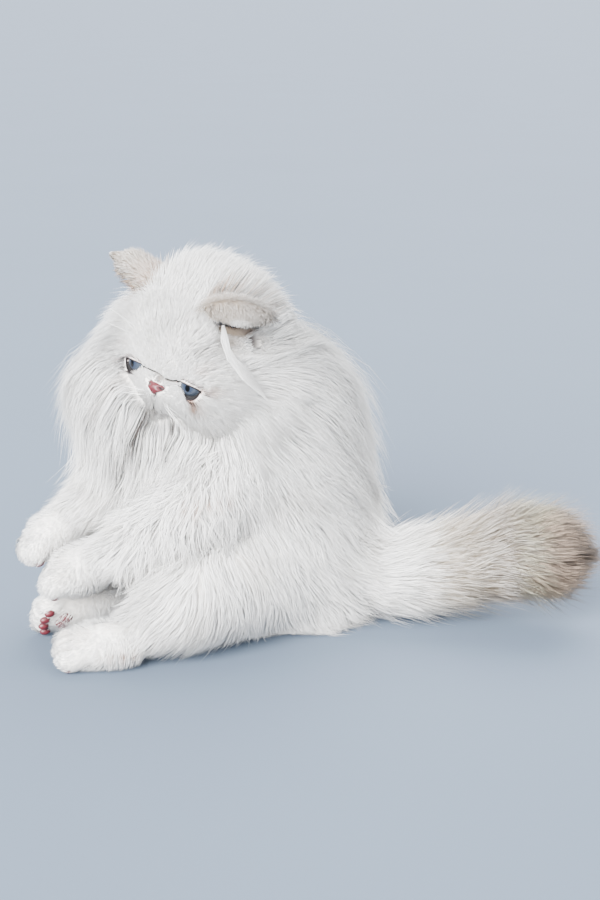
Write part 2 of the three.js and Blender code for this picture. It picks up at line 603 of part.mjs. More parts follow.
// Colours of the finished nodes
const finish = (color, roughness = 0.9) => new THREE.MeshStandardMaterial({ color, roughness, metalness: 0 });
const white = finish(0xf2efea);
const cream = finish(0xd9c3a3);
const finishes = {
  eye_left: finish(0x8296b8, 0.1), eye_right: finish(0x8296b8, 0.1), nose: finish(0xc9606a, 0.5),
  ear_left: cream, ear_right: cream, tail_middle: finish(0xe8dac4), tail_tip: cream,
};

// Everything that would reach below the floor is cut off level with it.
const underFloor = solid(new THREE.BoxGeometry(FLOOR_SIZE, FLOOR_SIZE, FLOOR_SIZE)
  .translate(0, 0, -FLOOR_SIZE / 2));

// The geometry of a body's largest closed surface: what a cut leaves loose or enclosed is dropped.
function largest(body) {
  const piece = body.decompose().reduce((a, b) => (a.volume() > b.volume() ? a : b));
  const { vertProperties, triVerts } = piece.getMesh();
  const shape = new THREE.BufferGeometry();
  shape.setAttribute("position", new THREE.BufferAttribute(vertProperties, 3));
  shape.setIndex(new THREE.BufferAttribute(triVerts, 1));
  return shape;
}

const cat = new THREE.Group();
for (const [name, core] of cores) {
  const settled = largest(solid(largest(core.subtract(underFloor))));
  const shape = largest(solid(settled));
  const mesh = new THREE.Mesh(shape, finishes[name] ?? white);
  mesh.name = name;
  cat.add(mesh);
}
export default cat;
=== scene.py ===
# A life-size longhaired Persian kitten that sits back on its rump, with its hind legs stretched
# out in front of it and its forepaws raised. Shapes are worked out in millimetres, in the frame
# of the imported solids, and go into the meshes in metres.
import math

import bpy
import numpy as np
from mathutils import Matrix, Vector


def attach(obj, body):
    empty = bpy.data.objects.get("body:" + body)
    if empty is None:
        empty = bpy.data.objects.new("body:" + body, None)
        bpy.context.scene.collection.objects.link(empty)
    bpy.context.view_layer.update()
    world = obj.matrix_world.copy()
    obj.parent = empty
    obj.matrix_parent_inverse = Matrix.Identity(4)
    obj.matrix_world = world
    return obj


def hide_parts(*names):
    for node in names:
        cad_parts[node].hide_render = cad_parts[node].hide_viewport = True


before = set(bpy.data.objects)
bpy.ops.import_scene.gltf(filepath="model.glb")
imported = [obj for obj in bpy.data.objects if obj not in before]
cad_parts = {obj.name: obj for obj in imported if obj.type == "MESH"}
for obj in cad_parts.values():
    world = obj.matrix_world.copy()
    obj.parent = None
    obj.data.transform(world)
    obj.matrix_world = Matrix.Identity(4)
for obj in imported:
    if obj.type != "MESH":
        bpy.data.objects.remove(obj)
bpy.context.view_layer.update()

# The room: a pale paper floor, a broad even light over the camera's left shoulder, a weak one from
# its right, and one from above and behind that lights the edges of the coat.
CAMERA_AIM = Vector((0, 0, 0.1074))
CAMERA_AWAY = 1.094
CAMERA_RISE = math.radians(15)
FLOOR_COLOUR = (0.085, 0.115, 0.16)
LAMPS = {
    "key": ((-0.7, -1.5, 0.85), math.radians(40), 22.0),
    "fill": ((1.3, -1.0, 0.5), math.radians(60), 3.2),
    "back": ((0.3, 0.9, 1.2), math.radians(50), 7.0),
}

towards = Vector((0, -math.cos(CAMERA_RISE), math.sin(CAMERA_RISE)))
camera = bpy.data.objects.new("camera", bpy.data.cameras.new("camera"))
camera.data.lens = 70
camera.data.sensor_width = 36
camera.location = CAMERA_AIM + towards * CAMERA_AWAY
camera.rotation_euler = (-towards).to_track_quat("-Z", "Y").to_euler()
bpy.context.scene.collection.objects.link(camera)
bpy.context.scene.camera = camera

for name, (place, width, strength) in LAMPS.items():
    lamp = bpy.data.objects.new(name, bpy.data.lights.new(name, "SUN"))
    lamp.data.angle = width
    lamp.data.energy = strength
    lamp.location = place
    lamp.rotation_euler = Vector(place).to_track_quat("Z", "Y").to_euler()
    bpy.context.scene.collection.objects.link(lamp)

world = bpy.data.worlds.new("room")
world.use_nodes = True
world.node_tree.nodes["Background"].inputs["Color"].default_value = (0.86, 0.92, 1, 1)
world.node_tree.nodes["Background"].inputs["Strength"].default_value = 1.4
bpy.context.scene.world = world


class Finish:
    """A new material, with short ways to add nodes to its shader."""

    def __init__(self, name):
        """An empty material with its Principled BSDF."""
        self.material = bpy.data.materials.new(name)
        self.material.use_nodes = True
        self.surface = self.material.node_tree.nodes["Principled BSDF"]
        self.link = self.material.node_tree.links.new

    def add(self, kind, **settings):
        """A node with these properties or socket values, with _ in a name for a blank."""
        node = self.material.node_tree.nodes.new("ShaderNode" + kind)
        for key, value in settings.items():
            if isinstance(getattr(node, key, None), (str, int, float, bool)):
                setattr(node, key, value)
            else:
                node.inputs[key.replace("_", " ")].default_value = value
        return node

    def pattern(self, kind, output, **settings):
        """A texture's output at the place on the object."""
        node = self.add(kind, **settings)
        self.link(self.add("TexCoord").outputs["Object"], node.inputs["Vector"])
        return node.outputs[output]

    def noise(self, **settings):
        """Noise, from 0 to 1, at the place on the object."""
        return self.pattern("TexNoise", "Fac", **settings)

    def painted(self, layer):
        """The mesh's own colours of that name."""
        return self.add("VertexColor", layer_name=layer).outputs["Color"]

    def ramp(self, factor, low, high, ends=(0.0, 1.0)):
        """Colour that goes from low to high as factor goes from one end to the other."""
        node = self.add("ValToRGB")
        for stop, colour, at in zip(node.color_ramp.elements, (low, high), ends):
            stop.position, stop.color = at, [*colour, 1]
        self.link(factor, node.inputs["Fac"])
        return node.outputs["Color"]

    def times(self, colour, other, share=1.0):
        """A colour multiplied by another, and mixed with itself by share."""
        node = self.add("Mix", data_type="RGBA", blend_type="MULTIPLY")
        node.inputs["Factor"].default_value = share
        self.link(colour, node.inputs[6])
        self.link(other, node.inputs[7])
        return node.outputs[2]

    def done(self, colour, height, strength, distance, **sockets):
        """Joins the colour and a bump of this height, strength and distance in metres, and sets
        constants on the shader's own sockets."""
        self.link(colour, self.surface.inputs["Base Color"])
        for key, value in sockets.items():
            self.surface.inputs[key.replace("_", " ")].default_value = value
        bump = self.add("Bump", Strength=strength, Distance=distance)
        self.link(height, bump.inputs["Height"])
        self.link(bump.outputs["Normal"], self.surface.inputs["Normal"])
        return self.material


def paper():
    """Pale paper: its colour times 0.96 to 1.04 by soft noise, and a fine tooth as bump."""
    look = Finish("paper")
    low, high = ([c * share for c in FLOOR_COLOUR] for share in (0.96, 1.04))
    cloud, tooth = look.noise(Scale=3.0, Detail=4.0), look.noise(Scale=900.0)
    return look.done(look.ramp(cloud, low, high), tooth, 0.15, 0.0003, Roughness=0.85)


bpy.ops.mesh.primitive_circle_add(vertices=96, radius=90, fill_type="NGON")
floor = bpy.context.object
floor.name = "floor"
floor.data.materials.append(paper())

# The body's skin. Flesh is a set of forms: an oval section carried along a smooth path. The names
# and sizes are those of the solids, and the skin lies inside them by the depth of the coat.
MM = 0.001
STATIONS = 257
SKIN_AT = 0.16  # share of the coat's depth at which the skin lies
BODY_YAW = math.radians(20)
FORMS = {
    "torso": {
        "path": [[-8, 0, -9], [-14, 3, 30], [-20, 3, 70], [-22, 0, 110], [-27, -5, 145], [-34, -8, 172]],
        "front": [-math.cos(BODY_YAW), -math.sin(BODY_YAW), 0], "coat": [12, 17, 20, 22, 26, 30],
        "deep": [44, 54, 55, 51, 47, 36], "across": [58, 57, 54, 50, 48, 40]},
    "neck": {
        "path": [[-38, 4, 92], [-55, 6, 128], [-64, 6, 160], [-68, 6, 188]],
        "front": [-math.cos(math.radians(5)), -math.sin(math.radians(5)), 0], "coat": [24, 34, 38, 34],
        "deep": [46, 56, 60, 56], "across": [44, 46, 44, 38]},
    "foreleg_left": {
        "path": [[-22, -40, 112], [-76, -64, 76], [-132, -62, 52]], "front": [0, 0, 1],
        "coat": [14, 14, 6], "deep": [22, 14, 9], "across": [18, 13, 9.5]},
    "foreleg_right": {
        "path": [[-44, 18, 112], [-98, 2, 91], [-154, -20, 62]], "front": [0, 0, 1],
        "coat": [14, 18, 7], "deep": [22, 14, 9], "across": [18, 13, 9.5]},
    "hindleg_left": {
        "path": [[-2, -30, 42], [-60, -72, 38], [-104, -92, 17]], "front": [0, 0, 1],
        "coat": [12, 13, 7], "deep": [34, 23, 10], "across": [26, 20, 10]},
    "hindleg_right": {
        "path": [[-24, 34, 42], [-86, 18, 40], [-124, -27, 19]], "front": [0, 0, 1],
        "coat": [12, 12, 6], "deep": [34, 21, 10], "across": [26, 18, 10]},
    "tail_root": {
        "path": [[24, 4, 27], [50, -7, 29], [78, -10, 31]], "front": [0, 0, 1],
        "coat": [24, 26, 27], "deep": [9, 8, 7], "across": [9, 8, 7]},
    "tail_middle": {
        "path": [[62, -8, 30], [93, -10, 35], [124, -10, 43]], "front": [0, 0, 1],
        "coat": [27, 29, 31], "deep": [7, 6, 6], "across": [7, 6, 6]},
    "tail_tip": {
        "path": [[108, -9, 38], [131, -11, 44], [151, -19, 46]], "front": [0, 0, 1],
        "coat": [26, 32, 34], "deep": [6, 5.5, 5], "across": [6, 5.5, 5]},
}
PAWS = {
    "forepaw_left": {"heel": [-117, -63, 55], "toes": [-147, -60, 45], "up": [-0.25, -0.15, 1], "size": 1.12},
    "forepaw_right": {"heel": [-140, -15, 67], "toes": [-166, -26, 52], "up": [-0.5, -0.1, 1], "size": 1.08},
    "hindpaw_left": {"heel": [-92, -90, 15], "toes": [-135, -97, 13.5], "up": [0, -0.35, 1], "size": 1.05},
    "hindpaw_right": {"heel": [-113, -23, 18], "toes": [-156, -44, 16.5], "up": [-0.35, 0.75, 0.65],
                      "size": 1.05},
}
TOES = (-1.5, -0.5, 0.5, 1.5)
TOE_GAP = 6.3
FOOT_COAT = 4.0


def smooth(x, low, high):
    """0 up to low, 1 from high on, and 3t^2 - 2t^3 between them."""
    t = np.clip((x - low) / (high - low), 0, 1)
    return t * t * (3 - 2 * t)


def unit(v):
    """Vectors divided by their length."""
    return v / np.maximum(np.linalg.norm(v, axis=-1, keepdims=True), 1e-9)


def dot(a, b):
    """Row by row scalar product."""
    return (a * b).sum(-1)


def along(values, s):
    """Values at even stations, eased from one to the next, read at shares s."""
    values = np.array(values, float)
    x = np.clip(s, 0, 1) * (len(values) - 1)
    i = np.minimum(x.astype(int), len(values) - 2)
    f = smooth(x - i, 0, 1)
    return values[i] * (1 - f) + values[i + 1] * f


def curve(path, t):
    """Centripetal Catmull-Rom curve: knots lie the square root of the chord apart, and the ends
    are carried on straight, so that the curve passes through every point of the path."""
    p = np.array(path, float)
    p = np.vstack([2 * p[0] - p[1], p, 2 * p[-1] - p[-2]])
    x = t * (len(path) - 1)
    i = np.minimum(x.astype(int), len(path) - 2)
    f = (x - i)[:, None]
    p0, p1, p2, p3 = (p[i + k] for k in range(4))
    gap = [np.sqrt(np.linalg.norm(b - a, axis=1))[:, None] for a, b in ((p0, p1), (p1, p2), (p2, p3))]
    start = ((p1 - p0) / gap[0] - (p2 - p0) / (gap[0] + gap[1]) + (p2 - p1) / gap[1]) * gap[1]
    end = ((p2 - p1) / gap[1] - (p3 - p1) / (gap[1] + gap[2]) + (p3 - p2) / gap[2]) * gap[1]
    return p1 + start * f + (3 * (p2 - p1) - 2 * start - end) * f**2 + (2 * (p1 - p2) + start + end) * f**3


class Form:
    """A form of flesh: at share s of its path, an oval with the half sizes deep, towards front,
    and across. Its ends close round as the sine of w to the power blunt."""

    def __init__(self, path, front, coat, deep, across, blunt=0.45):
        """The path and its axes at even shares; front is laid at right angles to the way."""
        t = np.linspace(0, 1, STATIONS)
        self.line = curve(path, t)
        step = np.gradient(self.line, t, axis=0)
        self.speed = np.linalg.norm(step, axis=1)
        self.way = unit(step)
        front = np.array(front, float)
        self.front = unit(front - self.way * (self.way @ front)[:, None])
        self.side = np.cross(self.way, self.front)
        self.sizes = np.stack([along(x, t) for x in (deep, across, coat)], axis=1)
        self.blunt = blunt

    def station(self, s):
        """Middle, way, two axes and sizes at shares s, read between the nearest two stations."""
        x = np.clip(s, 0, 1) * (STATIONS - 1)
        i = np.minimum(x.astype(int), STATIONS - 2)
        f = (x - i)[..., None]
        return [table[i] * (1 - f) + table[i + 1] * f
                for table in (self.line, self.way, self.front, self.side, self.sizes)]

    def bare(self, u, w):
        """Skin at share u round the section and w from end to end, s = (1 - cos(pi w)) / 2."""
        middle, _, front, side, sizes = self.station((1 - np.cos(np.pi * w)) / 2)
        end = np.maximum(np.sin(np.pi * w), 0) ** self.blunt
        turn = 2 * np.pi * u
        return (middle + front * (np.cos(turn) * sizes[..., 0] * end)[..., None]
                + side * (np.sin(turn) * sizes[..., 1] * end)[..., None])

    def over(self, u, w, share):
        """Skin plus its normal times share of the coat's depth."""
        e = 1e-3
        inner = np.clip(w, 2 * e, 1 - 2 * e)
        around = self.bare(u + e, inner) - self.bare(u - e, inner)
        lengthwise = self.bare(u, inner + e) - self.bare(u, inner - e)
        normal = unit(np.cross(around, lengthwise))
        _, way, _, _, sizes = self.station((1 - np.cos(np.pi * w)) / 2)
        pole = (w < e) | (w > 1 - e)
        normal[pole] = (way * np.where(w < 0.5, -1, 1)[..., None])[pole]
        return self.bare(u, w) + normal * (sizes[..., 2] * share)[..., None]

    def locate(self, p, share=1.0):
        """How far out points are, with 1 at share of the coat, the way outwards, the oval's
        radius there, each point's place on the unwrapped form, and the coat's depth."""
        coarse = self.line[::8]
        near = np.argmin(((p[:, None] - coarse[None]) ** 2).sum(-1), axis=1) * 8
        s = near / (STATIONS - 1) + dot(p - self.line[near], self.way[near]) / self.speed[near]
        s = np.clip(s, 0, 1)
        middle, way, front, side, sizes = self.station(s)
        off = p - middle
        end = (2 * np.sqrt(s * (1 - s))) ** self.blunt
        coat = sizes[:, 2] * share + 0.1
        halves = np.stack([sizes[:, 0] * end + coat, sizes[:, 1] * end + coat, coat], axis=1)
        beyond = np.where((s <= 0) | (s >= 1), dot(off, way), 0)
        oval = np.stack([dot(off, front), dot(off, side), beyond], axis=1) / halves
        axes = np.stack([front, side, way], axis=1)
        out = unit(((oval / halves)[:, :, None] * axes).sum(1))
        reach = np.linalg.norm(oval, axis=1)
        radius = np.linalg.norm(off, axis=1) / np.maximum(reach, 0.05)
        turn = np.arctan2(oval[:, 1], oval[:, 0]) / (2 * np.pi) + 0.5
        return reach, out, radius, np.stack([turn, np.arccos(1 - 2 * s) / np.pi], axis=1), sizes[:, 2]


def ball_faces(rings, sides):
    """Triangles of a closed grid of points: a pole, rings - 1 rings of sides points, and a pole."""
    i = np.arange(sides)
    j = (i + 1) % sides
    start = 1 + sides * np.arange(rings - 2)[:, None]
    a, b, c, d = start + i, start + j, start + sides + j, start + sides + i
    walls = np.concatenate([np.stack([a, d, c], -1).reshape(-1, 3), np.stack([a, c, b], -1).reshape(-1, 3)])
    last = 1 + sides * (rings - 1)
    first_fan = np.stack([0 * i, 1 + i, 1 + j], -1)
    last_fan = np.stack([0 * i + last, last - sides + j, last - sides + i], -1)
    return np.concatenate([first_fan, walls, last_fan])


def closed(points):
    """A grid of points, whose first and last ring are poles, as (points, triangles facing out)."""
    rings, sides = points.shape[0] - 1, points.shape[1]
    flat = np.concatenate([points[:1, 0], points[1:-1].reshape(-1, 3), points[-1:, 0]])
    return outward(flat, ball_faces(rings, sides))


def outward(points, faces):
    """Turns the triangles round if the volume that they enclose comes out negative."""
    a, b, c = (points[faces[:, k]] for k in range(3))
    return points, faces if dot(a, np.cross(b, c)).sum() > 0 else faces[:, ::-1]


def gathered(shapes):
    """Several (points, triangles) as one, with the numbers of later points moved up."""
    starts = np.cumsum([0] + [len(p) for p, _ in shapes[:-1]])
    faces = [f + n for (_, f), n in zip(shapes, starts)]
    return np.concatenate([p for p, _ in shapes]), np.concatenate(faces)


def mesh_piece(name, points, faces):
    """A mesh object with these points, in millimetres, and triangles, shaded smooth."""
    mesh = bpy.data.meshes.new(name)
    mesh.vertices.add(len(points))
    mesh.vertices.foreach_set("co", (points * MM).astype(np.float32).ravel())
    mesh.loops.add(faces.size)
    mesh.loops.foreach_set("vertex_index", faces.astype(np.int32).ravel())
    mesh.polygons.add(len(faces))
    mesh.polygons.foreach_set("loop_start", np.arange(len(faces), dtype=np.int32) * 3)
    mesh.polygons.foreach_set("use_smooth", np.ones(len(faces), bool))
    mesh.update(calc_edges=True)
    piece = bpy.data.objects.new(name, mesh)
    bpy.context.scene.collection.objects.link(piece)
    return piece


def grid(rings, sides):
    """Shares u round and w from end to end at the points of a grid."""
    return np.meshgrid(np.arange(sides) / sides, np.arange(rings + 1) / rings)


def unit_ball(rings, sides):
    """A grid on the unit sphere, from pole to pole along x: (cos, sin cos, sin sin)."""
    u, w = grid(rings, sides)
    r = np.sin(np.pi * w)
    return np.stack([np.cos(np.pi * w), r * np.cos(2 * np.pi * u), r * np.sin(2 * np.pi * u)], axis=-1)


def oval_ball(middle, halves, axes):
    """An ellipsoid: middle plus halves times the unit sphere, turned by three axes."""
    return closed(np.array(middle) + (unit_ball(16, 24) * np.array(halves)) @ np.array(axes))


def paw_axes(paw):
    """A paw's own axes: forwards along the foot, sideways, and up."""
    heel, toes, up = (np.array(paw[key], float) for key in ("heel", "toes", "up"))
    way = unit(toes - heel)
    side = unit(np.cross(up, way))
    return np.array([way, side, np.cross(way, side)])


def foot_form(paw):
    """The foot without its toes, as a form."""
    heel, toes = np.array(paw["heel"], float), np.array(paw["toes"], float)
    size = paw["size"]
    return Form([heel, (heel + toes) / 2, toes], paw_axes(paw)[2], [FOOT_COAT] * 3,
                [12 * size, 12 * size, 11 * size], [13 * size, 13 * size, 12 * size], blunt=0.5)


def on_paw(paw, forward, side, up):
    """A place given in the paw's own axes from its toes, times its size."""
    return np.array(paw["toes"]) + np.array([forward, side, up]) * paw["size"] @ paw_axes(paw)


forms = {name: Form(**sizes) for name, sizes in FORMS.items()}
feet = {name: foot_form(paw) for name, paw in PAWS.items()}
flesh = []
for form in forms.values():
    u, w = grid(44, 56)
    flesh.append(closed(form.over(u, w, SKIN_AT)))
for name, paw in PAWS.items():
    u, w = grid(24, 32)
    flesh.append(closed(feet[name].over(u, w, 0)))
    for i in TOES:
        flesh.append(oval_ball(on_paw(paw, 1.5 - abs(i) * 1.6, i * TOE_GAP, -1.2),
                               np.array([8.4, 4.7, 7.1]) * paw["size"], paw_axes(paw)))
rough_body = mesh_piece("rough_body", *gathered(flesh))


def finished(piece, *modifiers):
    """The piece's mesh after (kind, settings) modifiers, on a new object; the old one goes."""
    for kind, settings in modifiers:
        modifier = piece.modifiers.new(kind, kind)
        for key, value in settings.items():
            setattr(modifier, key, value)
    mesh = bpy.data.meshes.new_from_object(piece.evaluated_get(bpy.context.evaluated_depsgraph_get()))
    made = bpy.data.objects.new(piece.name, mesh)
    bpy.context.scene.collection.objects.link(made)
    bpy.data.objects.remove(piece)
    return made


rough_body = finished(rough_body, ("REMESH", {"mode": "VOXEL", "voxel_size": 0.0021}),
                      ("SMOOTH", {"factor": 0.5, "iterations": 6}))

# The head's skin: a ball whose reach in each direction is that of an oval skull, plus the
# swellings and hollows of the face, the lids over the eyes, and the folds at nose and mouth.
HEAD_AT = np.array([-61.0, -15.0, 173.0])
HEAD_YAW, HEAD_PITCH, HEAD_ROLL = (math.radians(x) for x in (34, 8, 14.8))
SKULL = {"face": 38, "nape": 45, "side": 45, "crown": 45.5, "jaw": 43}
EYE = {"radius": 9.4, "forward": 29.4, "side": 18.7, "up": -2.3, "outward": math.radians(12)}
LID = 0.75
DARK_EDGE = (0.9, 1.5, 1.2)  # mm of dark skin over, under and beside the opening
BARE_EDGE = (0.5, 0.9, 0.8)  # and of skin without hair
OPENING = {"half": 7.4, "above": 1.9, "below": 6.9, "inner": 1.2, "outer": -0.7}
FACE = [
    *[feature for side in (-1, 1) for feature in (
        ([0.92, 0.17 * side, -0.36], 5, 0.16),  # whisker pad
        ([0.66, 0.6 * side, -0.42], 7, 0.4),  # cheek
        ([0.84, 0.34 * side, 0.36], 4, 0.24),  # brow
        ([0.85, 0.46 * side, 0.06], 3.2, 0.42),  # flat of the face round the eye
        ([0.885, 0.43 * side, -0.03], -3.6, 0.17),  # eye socket
    )],
    ([0.0, 0.86, 0.51], -11, 0.13),  # hollow under the near ear
    *[([0.974, 0.105 * side, -0.2], -2.6, 0.036) for side in (-1, 1)],  # nostrils
    ([0.98, 0, -0.2], 2.4, 0.12),  # nose
    ([0.8, 0, -0.6], 8, 0.17),  # chin
    ([0.99, 0, -0.075], -2.6, 0.09),  # break over the nose
    ([0.99, 0, 0.1], 2.2, 0.16),  # forehead that hangs over it
]
# Folds as lines through directions from the skull's middle: half width in radians, depth in mm
CREASE = [[0.93, -0.36, -0.075], [0.97, -0.22, -0.05], [0.99, -0.1, -0.03], [0.997, 0, -0.055],
          [0.99, 0.1, -0.075], [0.97, 0.22, -0.065], [0.945, 0.325, -0.03]]
PHILTRUM = [[0.95, 0, -0.3], [0.92, 0, -0.38], [0.885, 0, -0.455]]
LIPS = [[[0.885, 0, -0.455], [0.868, 0.07 * side, -0.49], [0.835, 0.15 * side, -0.525],
         [0.79, 0.24 * side, -0.56]] for side in (-1, 1)]
# Each fold's last number is how strongly it darkens the colour: dark bare skin, with painted shade of the
# fold in the same colour.
FOLDS = [(CREASE, 0.036, 2.0, 1.0), (PHILTRUM, 0.024, 1.0, 0.95), *[(lip, 0.028, 1.5, 1.0) for lip in LIPS]]

forward = np.array([-math.sin(HEAD_YAW) * math.cos(HEAD_PITCH),
                    -math.cos(HEAD_YAW) * math.cos(HEAD_PITCH), -math.sin(HEAD_PITCH)])
level = np.array([math.cos(HEAD_YAW), -math.sin(HEAD_YAW), 0])
left = level * math.cos(HEAD_ROLL) - np.cross(forward, level) * math.sin(HEAD_ROLL)
HEAD_AXES = np.array([forward, left, np.cross(forward, left)])


def on_head(p):
    """From the head's own axes, forward, left and up, to the room."""
    return np.asarray(p, float) @ HEAD_AXES + HEAD_AT


def to_head(p):
    """From the room to the head's own axes."""
    return (p - HEAD_AT) @ HEAD_AXES.T


def angle_to(d, way):
    """Angle between unit directions and one way."""
    return np.arccos(np.clip(d @ unit(np.array(way, float)), -1, 1))


def line_angle(d, line):
    """Smallest angle between unit directions and a line of directions: to each stretch, the point
    is dropped on the chord, held between its ends, and the chord's point is made a direction."""
    ways = unit(np.array(line, float))
    nearest = np.full(len(d), 9.0)
    for a, b in zip(ways[:-1], ways[1:]):
        share = np.clip(((d - a) @ (b - a)) / ((b - a) @ (b - a)), 0, 1)
        foot = unit(a + share[:, None] * (b - a))
        nearest = np.minimum(nearest, np.arccos(np.clip(dot(d, foot), -1, 1)))
    return nearest


def skull_reach(d):
    """One over the length of d divided by the skull's half sizes, plus each feature's height times
    exp(-(angle / spread)^2)."""
    x, y, z = d.T
    sizes = SKULL
    oval = np.sqrt((x / np.where(x > 0, sizes["face"], sizes["nape"])) ** 2 + (y / sizes["side"]) ** 2
                   + (z / np.where(z > 0, sizes["crown"], sizes["jaw"])) ** 2)
    return 1 / oval + sum(h * np.exp(-((angle_to(d, way) / spread) ** 2)) for way, h, spread in FACE)


def head_coat(d):
    """Depth of the coat on the head: nearly bare at the nose, deep on the crown and cheeks."""
    away = angle_to(d, [0.98, 0, -0.2])
    cheek = smooth(np.abs(d[:, 1]), 0.45, 0.9) * smooth(-d[:, 2], -0.55, 0.15)
    chin = 2.5 * np.exp(-((angle_to(d, [0.8, 0, -0.62]) / 0.24) ** 2))
    far = 4 * smooth(-d[:, 1], 0.4, 0.85) * smooth(away, 0.8, 1.3)
    return (1.2 + chin + 6 * smooth(away, 0.4, 1) + 14 * smooth(away, 1.4, 2)
            + 20 * cheek * smooth(away, 0.6, 1.4) + far)


class Head:
    """The head as a form: its reach is that of the skull plus share of the coat."""

    def locate(self, p, share=1.0):
        """As a form's locate. The unwrapped place is the turn about the face and the angle from it."""
        own = to_head(p)
        away = np.linalg.norm(own, axis=1)
        d = unit(own)
        coat = head_coat(d)
        radius = skull_reach(d) + coat * share
        place = np.stack([np.arctan2(d[:, 2], d[:, 1]) / (2 * np.pi) + 0.5,
                          np.arccos(np.clip(d[:, 0], -1, 1)) / np.pi], axis=1)
        return away / radius, d @ HEAD_AXES, radius, place, coat


def eye_axes(side):
    """An eye's middle and its axes: gaze, sideways away from the nose, and up, in the head's axes."""
    out = EYE["outward"] * side
    gaze = np.array([math.cos(out), math.sin(out), 0])
    return (np.array([EYE["forward"], EYE["side"] * side, EYE["up"]]),
            np.array([gaze, [-math.sin(out) * side, math.cos(out) * side, 0], [0, 0, 1]]))


def lid_edges(count=40):
    """The edges of the lids, from the inner to the outer corner: a flat arch above, a deep round
    one below."""
    half, above, below, inner, outer = (OPENING[key] for key in ("half", "above", "below", "inner", "outer"))
    t = np.linspace(0, 1, count)
    level = inner * (1 - t) + outer * t
    upper = np.stack([half * (2 * t - 1), level + 4 * t * (1 - t) * (above - (inner + outer) / 2)], 1)
    across = -((1 - t) ** 3) - 2.1 * (1 - t) ** 2 * t + 2.1 * (1 - t) * t**2 + t**3
    lower = np.stack([half * across, level - 4 * t * (1 - t) * (below + (inner + outer) / 2)], 1)
    return upper, lower


def lid_gaps(own):
    """How far points, in an eye's axes, lie below the upper lid's edge, above the lower lid's, and
    inside the corners."""
    upper, lower = lid_edges()
    return (np.interp(own[:, 1], upper[:, 0], upper[:, 1]) - own[:, 2],
            own[:, 2] - np.interp(own[:, 1], lower[:, 0], lower[:, 1]), OPENING["half"] - np.abs(own[:, 1]))


def ray_to_ball(d, middle, radius):
    """How far along each direction from the skull's middle a ball's far side lies, and 0 if missed."""
    b = d @ middle
    inside = b**2 - middle @ middle + radius**2
    return np.where(inside > 0, b + np.sqrt(np.maximum(inside, 0)), 0)


def head_skin(d):
    """Skin's reach: the skull's, joined softly to the ball of each lid, less the folds. Between the
    edges of the lids it sinks behind the eye."""
    reach = skull_reach(d) + head_coat(d) * SKIN_AT * 0.6
    for line, spread, depth, _ in FOLDS:
        reach = reach - depth * np.exp(-((line_angle(d, line) / spread) ** 2))
    for side in (-1, 1):
        middle, axes = eye_axes(side)
        lid = ray_to_ball(d, middle, EYE["radius"] + LID)
        gap = np.clip(np.abs(reach - lid) / 1.2, 0, 1)
        reach = np.where(lid > 0, np.maximum(reach, lid) + 0.25 * (1 - gap) ** 2, reach)
        own = (d * reach[:, None] - middle) @ axes.T
        within = (np.min(lid_gaps(own), axis=0) > 0) & (own[:, 0] > 0)
        reach = np.where(within, ray_to_ball(d, middle, EYE["radius"] - 2), reach)
    return reach


def head_grid(sides=280):
    """Directions in rings about the face, 0.7 degrees apart up to 60 degrees and then wider."""
    angles = np.concatenate([np.linspace(0, 1.05, 88), np.linspace(1.05, np.pi, 62)[1:]])
    theta, turn = np.meshgrid(angles, np.arange(sides) * 2 * np.pi / sides, indexing="ij")
    return np.stack([np.cos(theta), np.cos(turn) * np.sin(theta), np.sin(turn) * np.sin(theta)], -1)


directions = head_grid()
flat = directions.reshape(-1, 3)
head_points = on_head(flat * head_skin(flat)[:, None]).reshape(directions.shape)
rough_head = mesh_piece("rough_head", *closed(head_points))

# The ears: small leaves with round tips, rolled to a cup that opens forward and down. The coat on
# the back is short and beige, and long hair hangs out of the cup.
EARS = {
    "right": {"base": [-85, -5, 210], "tip": [-114, 6, 230], "open": [-0.4, 0.66, -0.64],
              "deep": [9, 7, 3], "across": [17, 9, 3], "blunt": 1.0, "roll": 1.85},
    "left": {"base": [-40, -38, 199], "tip": [-34, -60, 200], "open": [-0.1, -0.25, -0.96],
             "deep": [8, 9, 6], "across": [17, 20.5, 14], "blunt": 0.8, "roll": 1.5},
}
EAR_WALL = 1.6


class Ear(Form):
    """An ear as a form along its length. Its section is a crescent: an arc of the oval round its
    back, and the same arc again inside it by the thickness of the wall."""

    def __init__(self, base, tip, open, deep, across, blunt, roll):
        """A path from below the base to the tip, bowed away from the opening at 0.55 of it."""
        self.roll = roll  # radians from the middle of its back to its rim
        start, end, way = np.array(base, float), np.array(tip, float), unit(np.array(open, float))
        length = end - start
        super().__init__([start - 0.3 * length, start + 0.55 * length - 2.5 * way, end], way,
                         [2, 1.6, 1], deep, across, blunt)

    def leaf(self, phi, w, wall):
        """A point of the arc at angle phi from the back, that far inside the oval."""
        middle, _, front, side, sizes = self.station((1 - np.cos(np.pi * w)) / 2)
        end = np.maximum(np.sin(np.pi * w), 0) ** self.blunt
        deep, wide = (np.maximum(sizes[..., k] * end - wall * np.minimum(end * 1.5, 1), 0) for k in (0, 1))
        return middle - front * (np.cos(phi) * deep)[..., None] + side * (np.sin(phi) * wide)[..., None]


ears = {name: Ear(**sizes) for name, sizes in EARS.items()}
ear_shapes = []
for ear in ears.values():
    u, w = grid(48, 72)
    phi = np.where(u < 0.5, 4 * u - 1, 3 - 4 * u) * ear.roll
    ear_shapes.append(closed(ear.leaf(phi, w, np.where(u < 0.5, 0, EAR_WALL))))
rough_ears = [mesh_piece(f"rough_ear_{i}", *shape) for i, shape in enumerate(ear_shapes)]

skin = rough_head
for part in (*rough_ears, rough_body):
    skin = finished(skin, ("BOOLEAN", {"operation": "UNION", "solver": "MANIFOLD", "object": part}))
    bpy.data.objects.remove(part)
skin.name = "skin"
skin.data.polygons.foreach_set("use_smooth", np.ones(len(skin.data.polygons), bool))
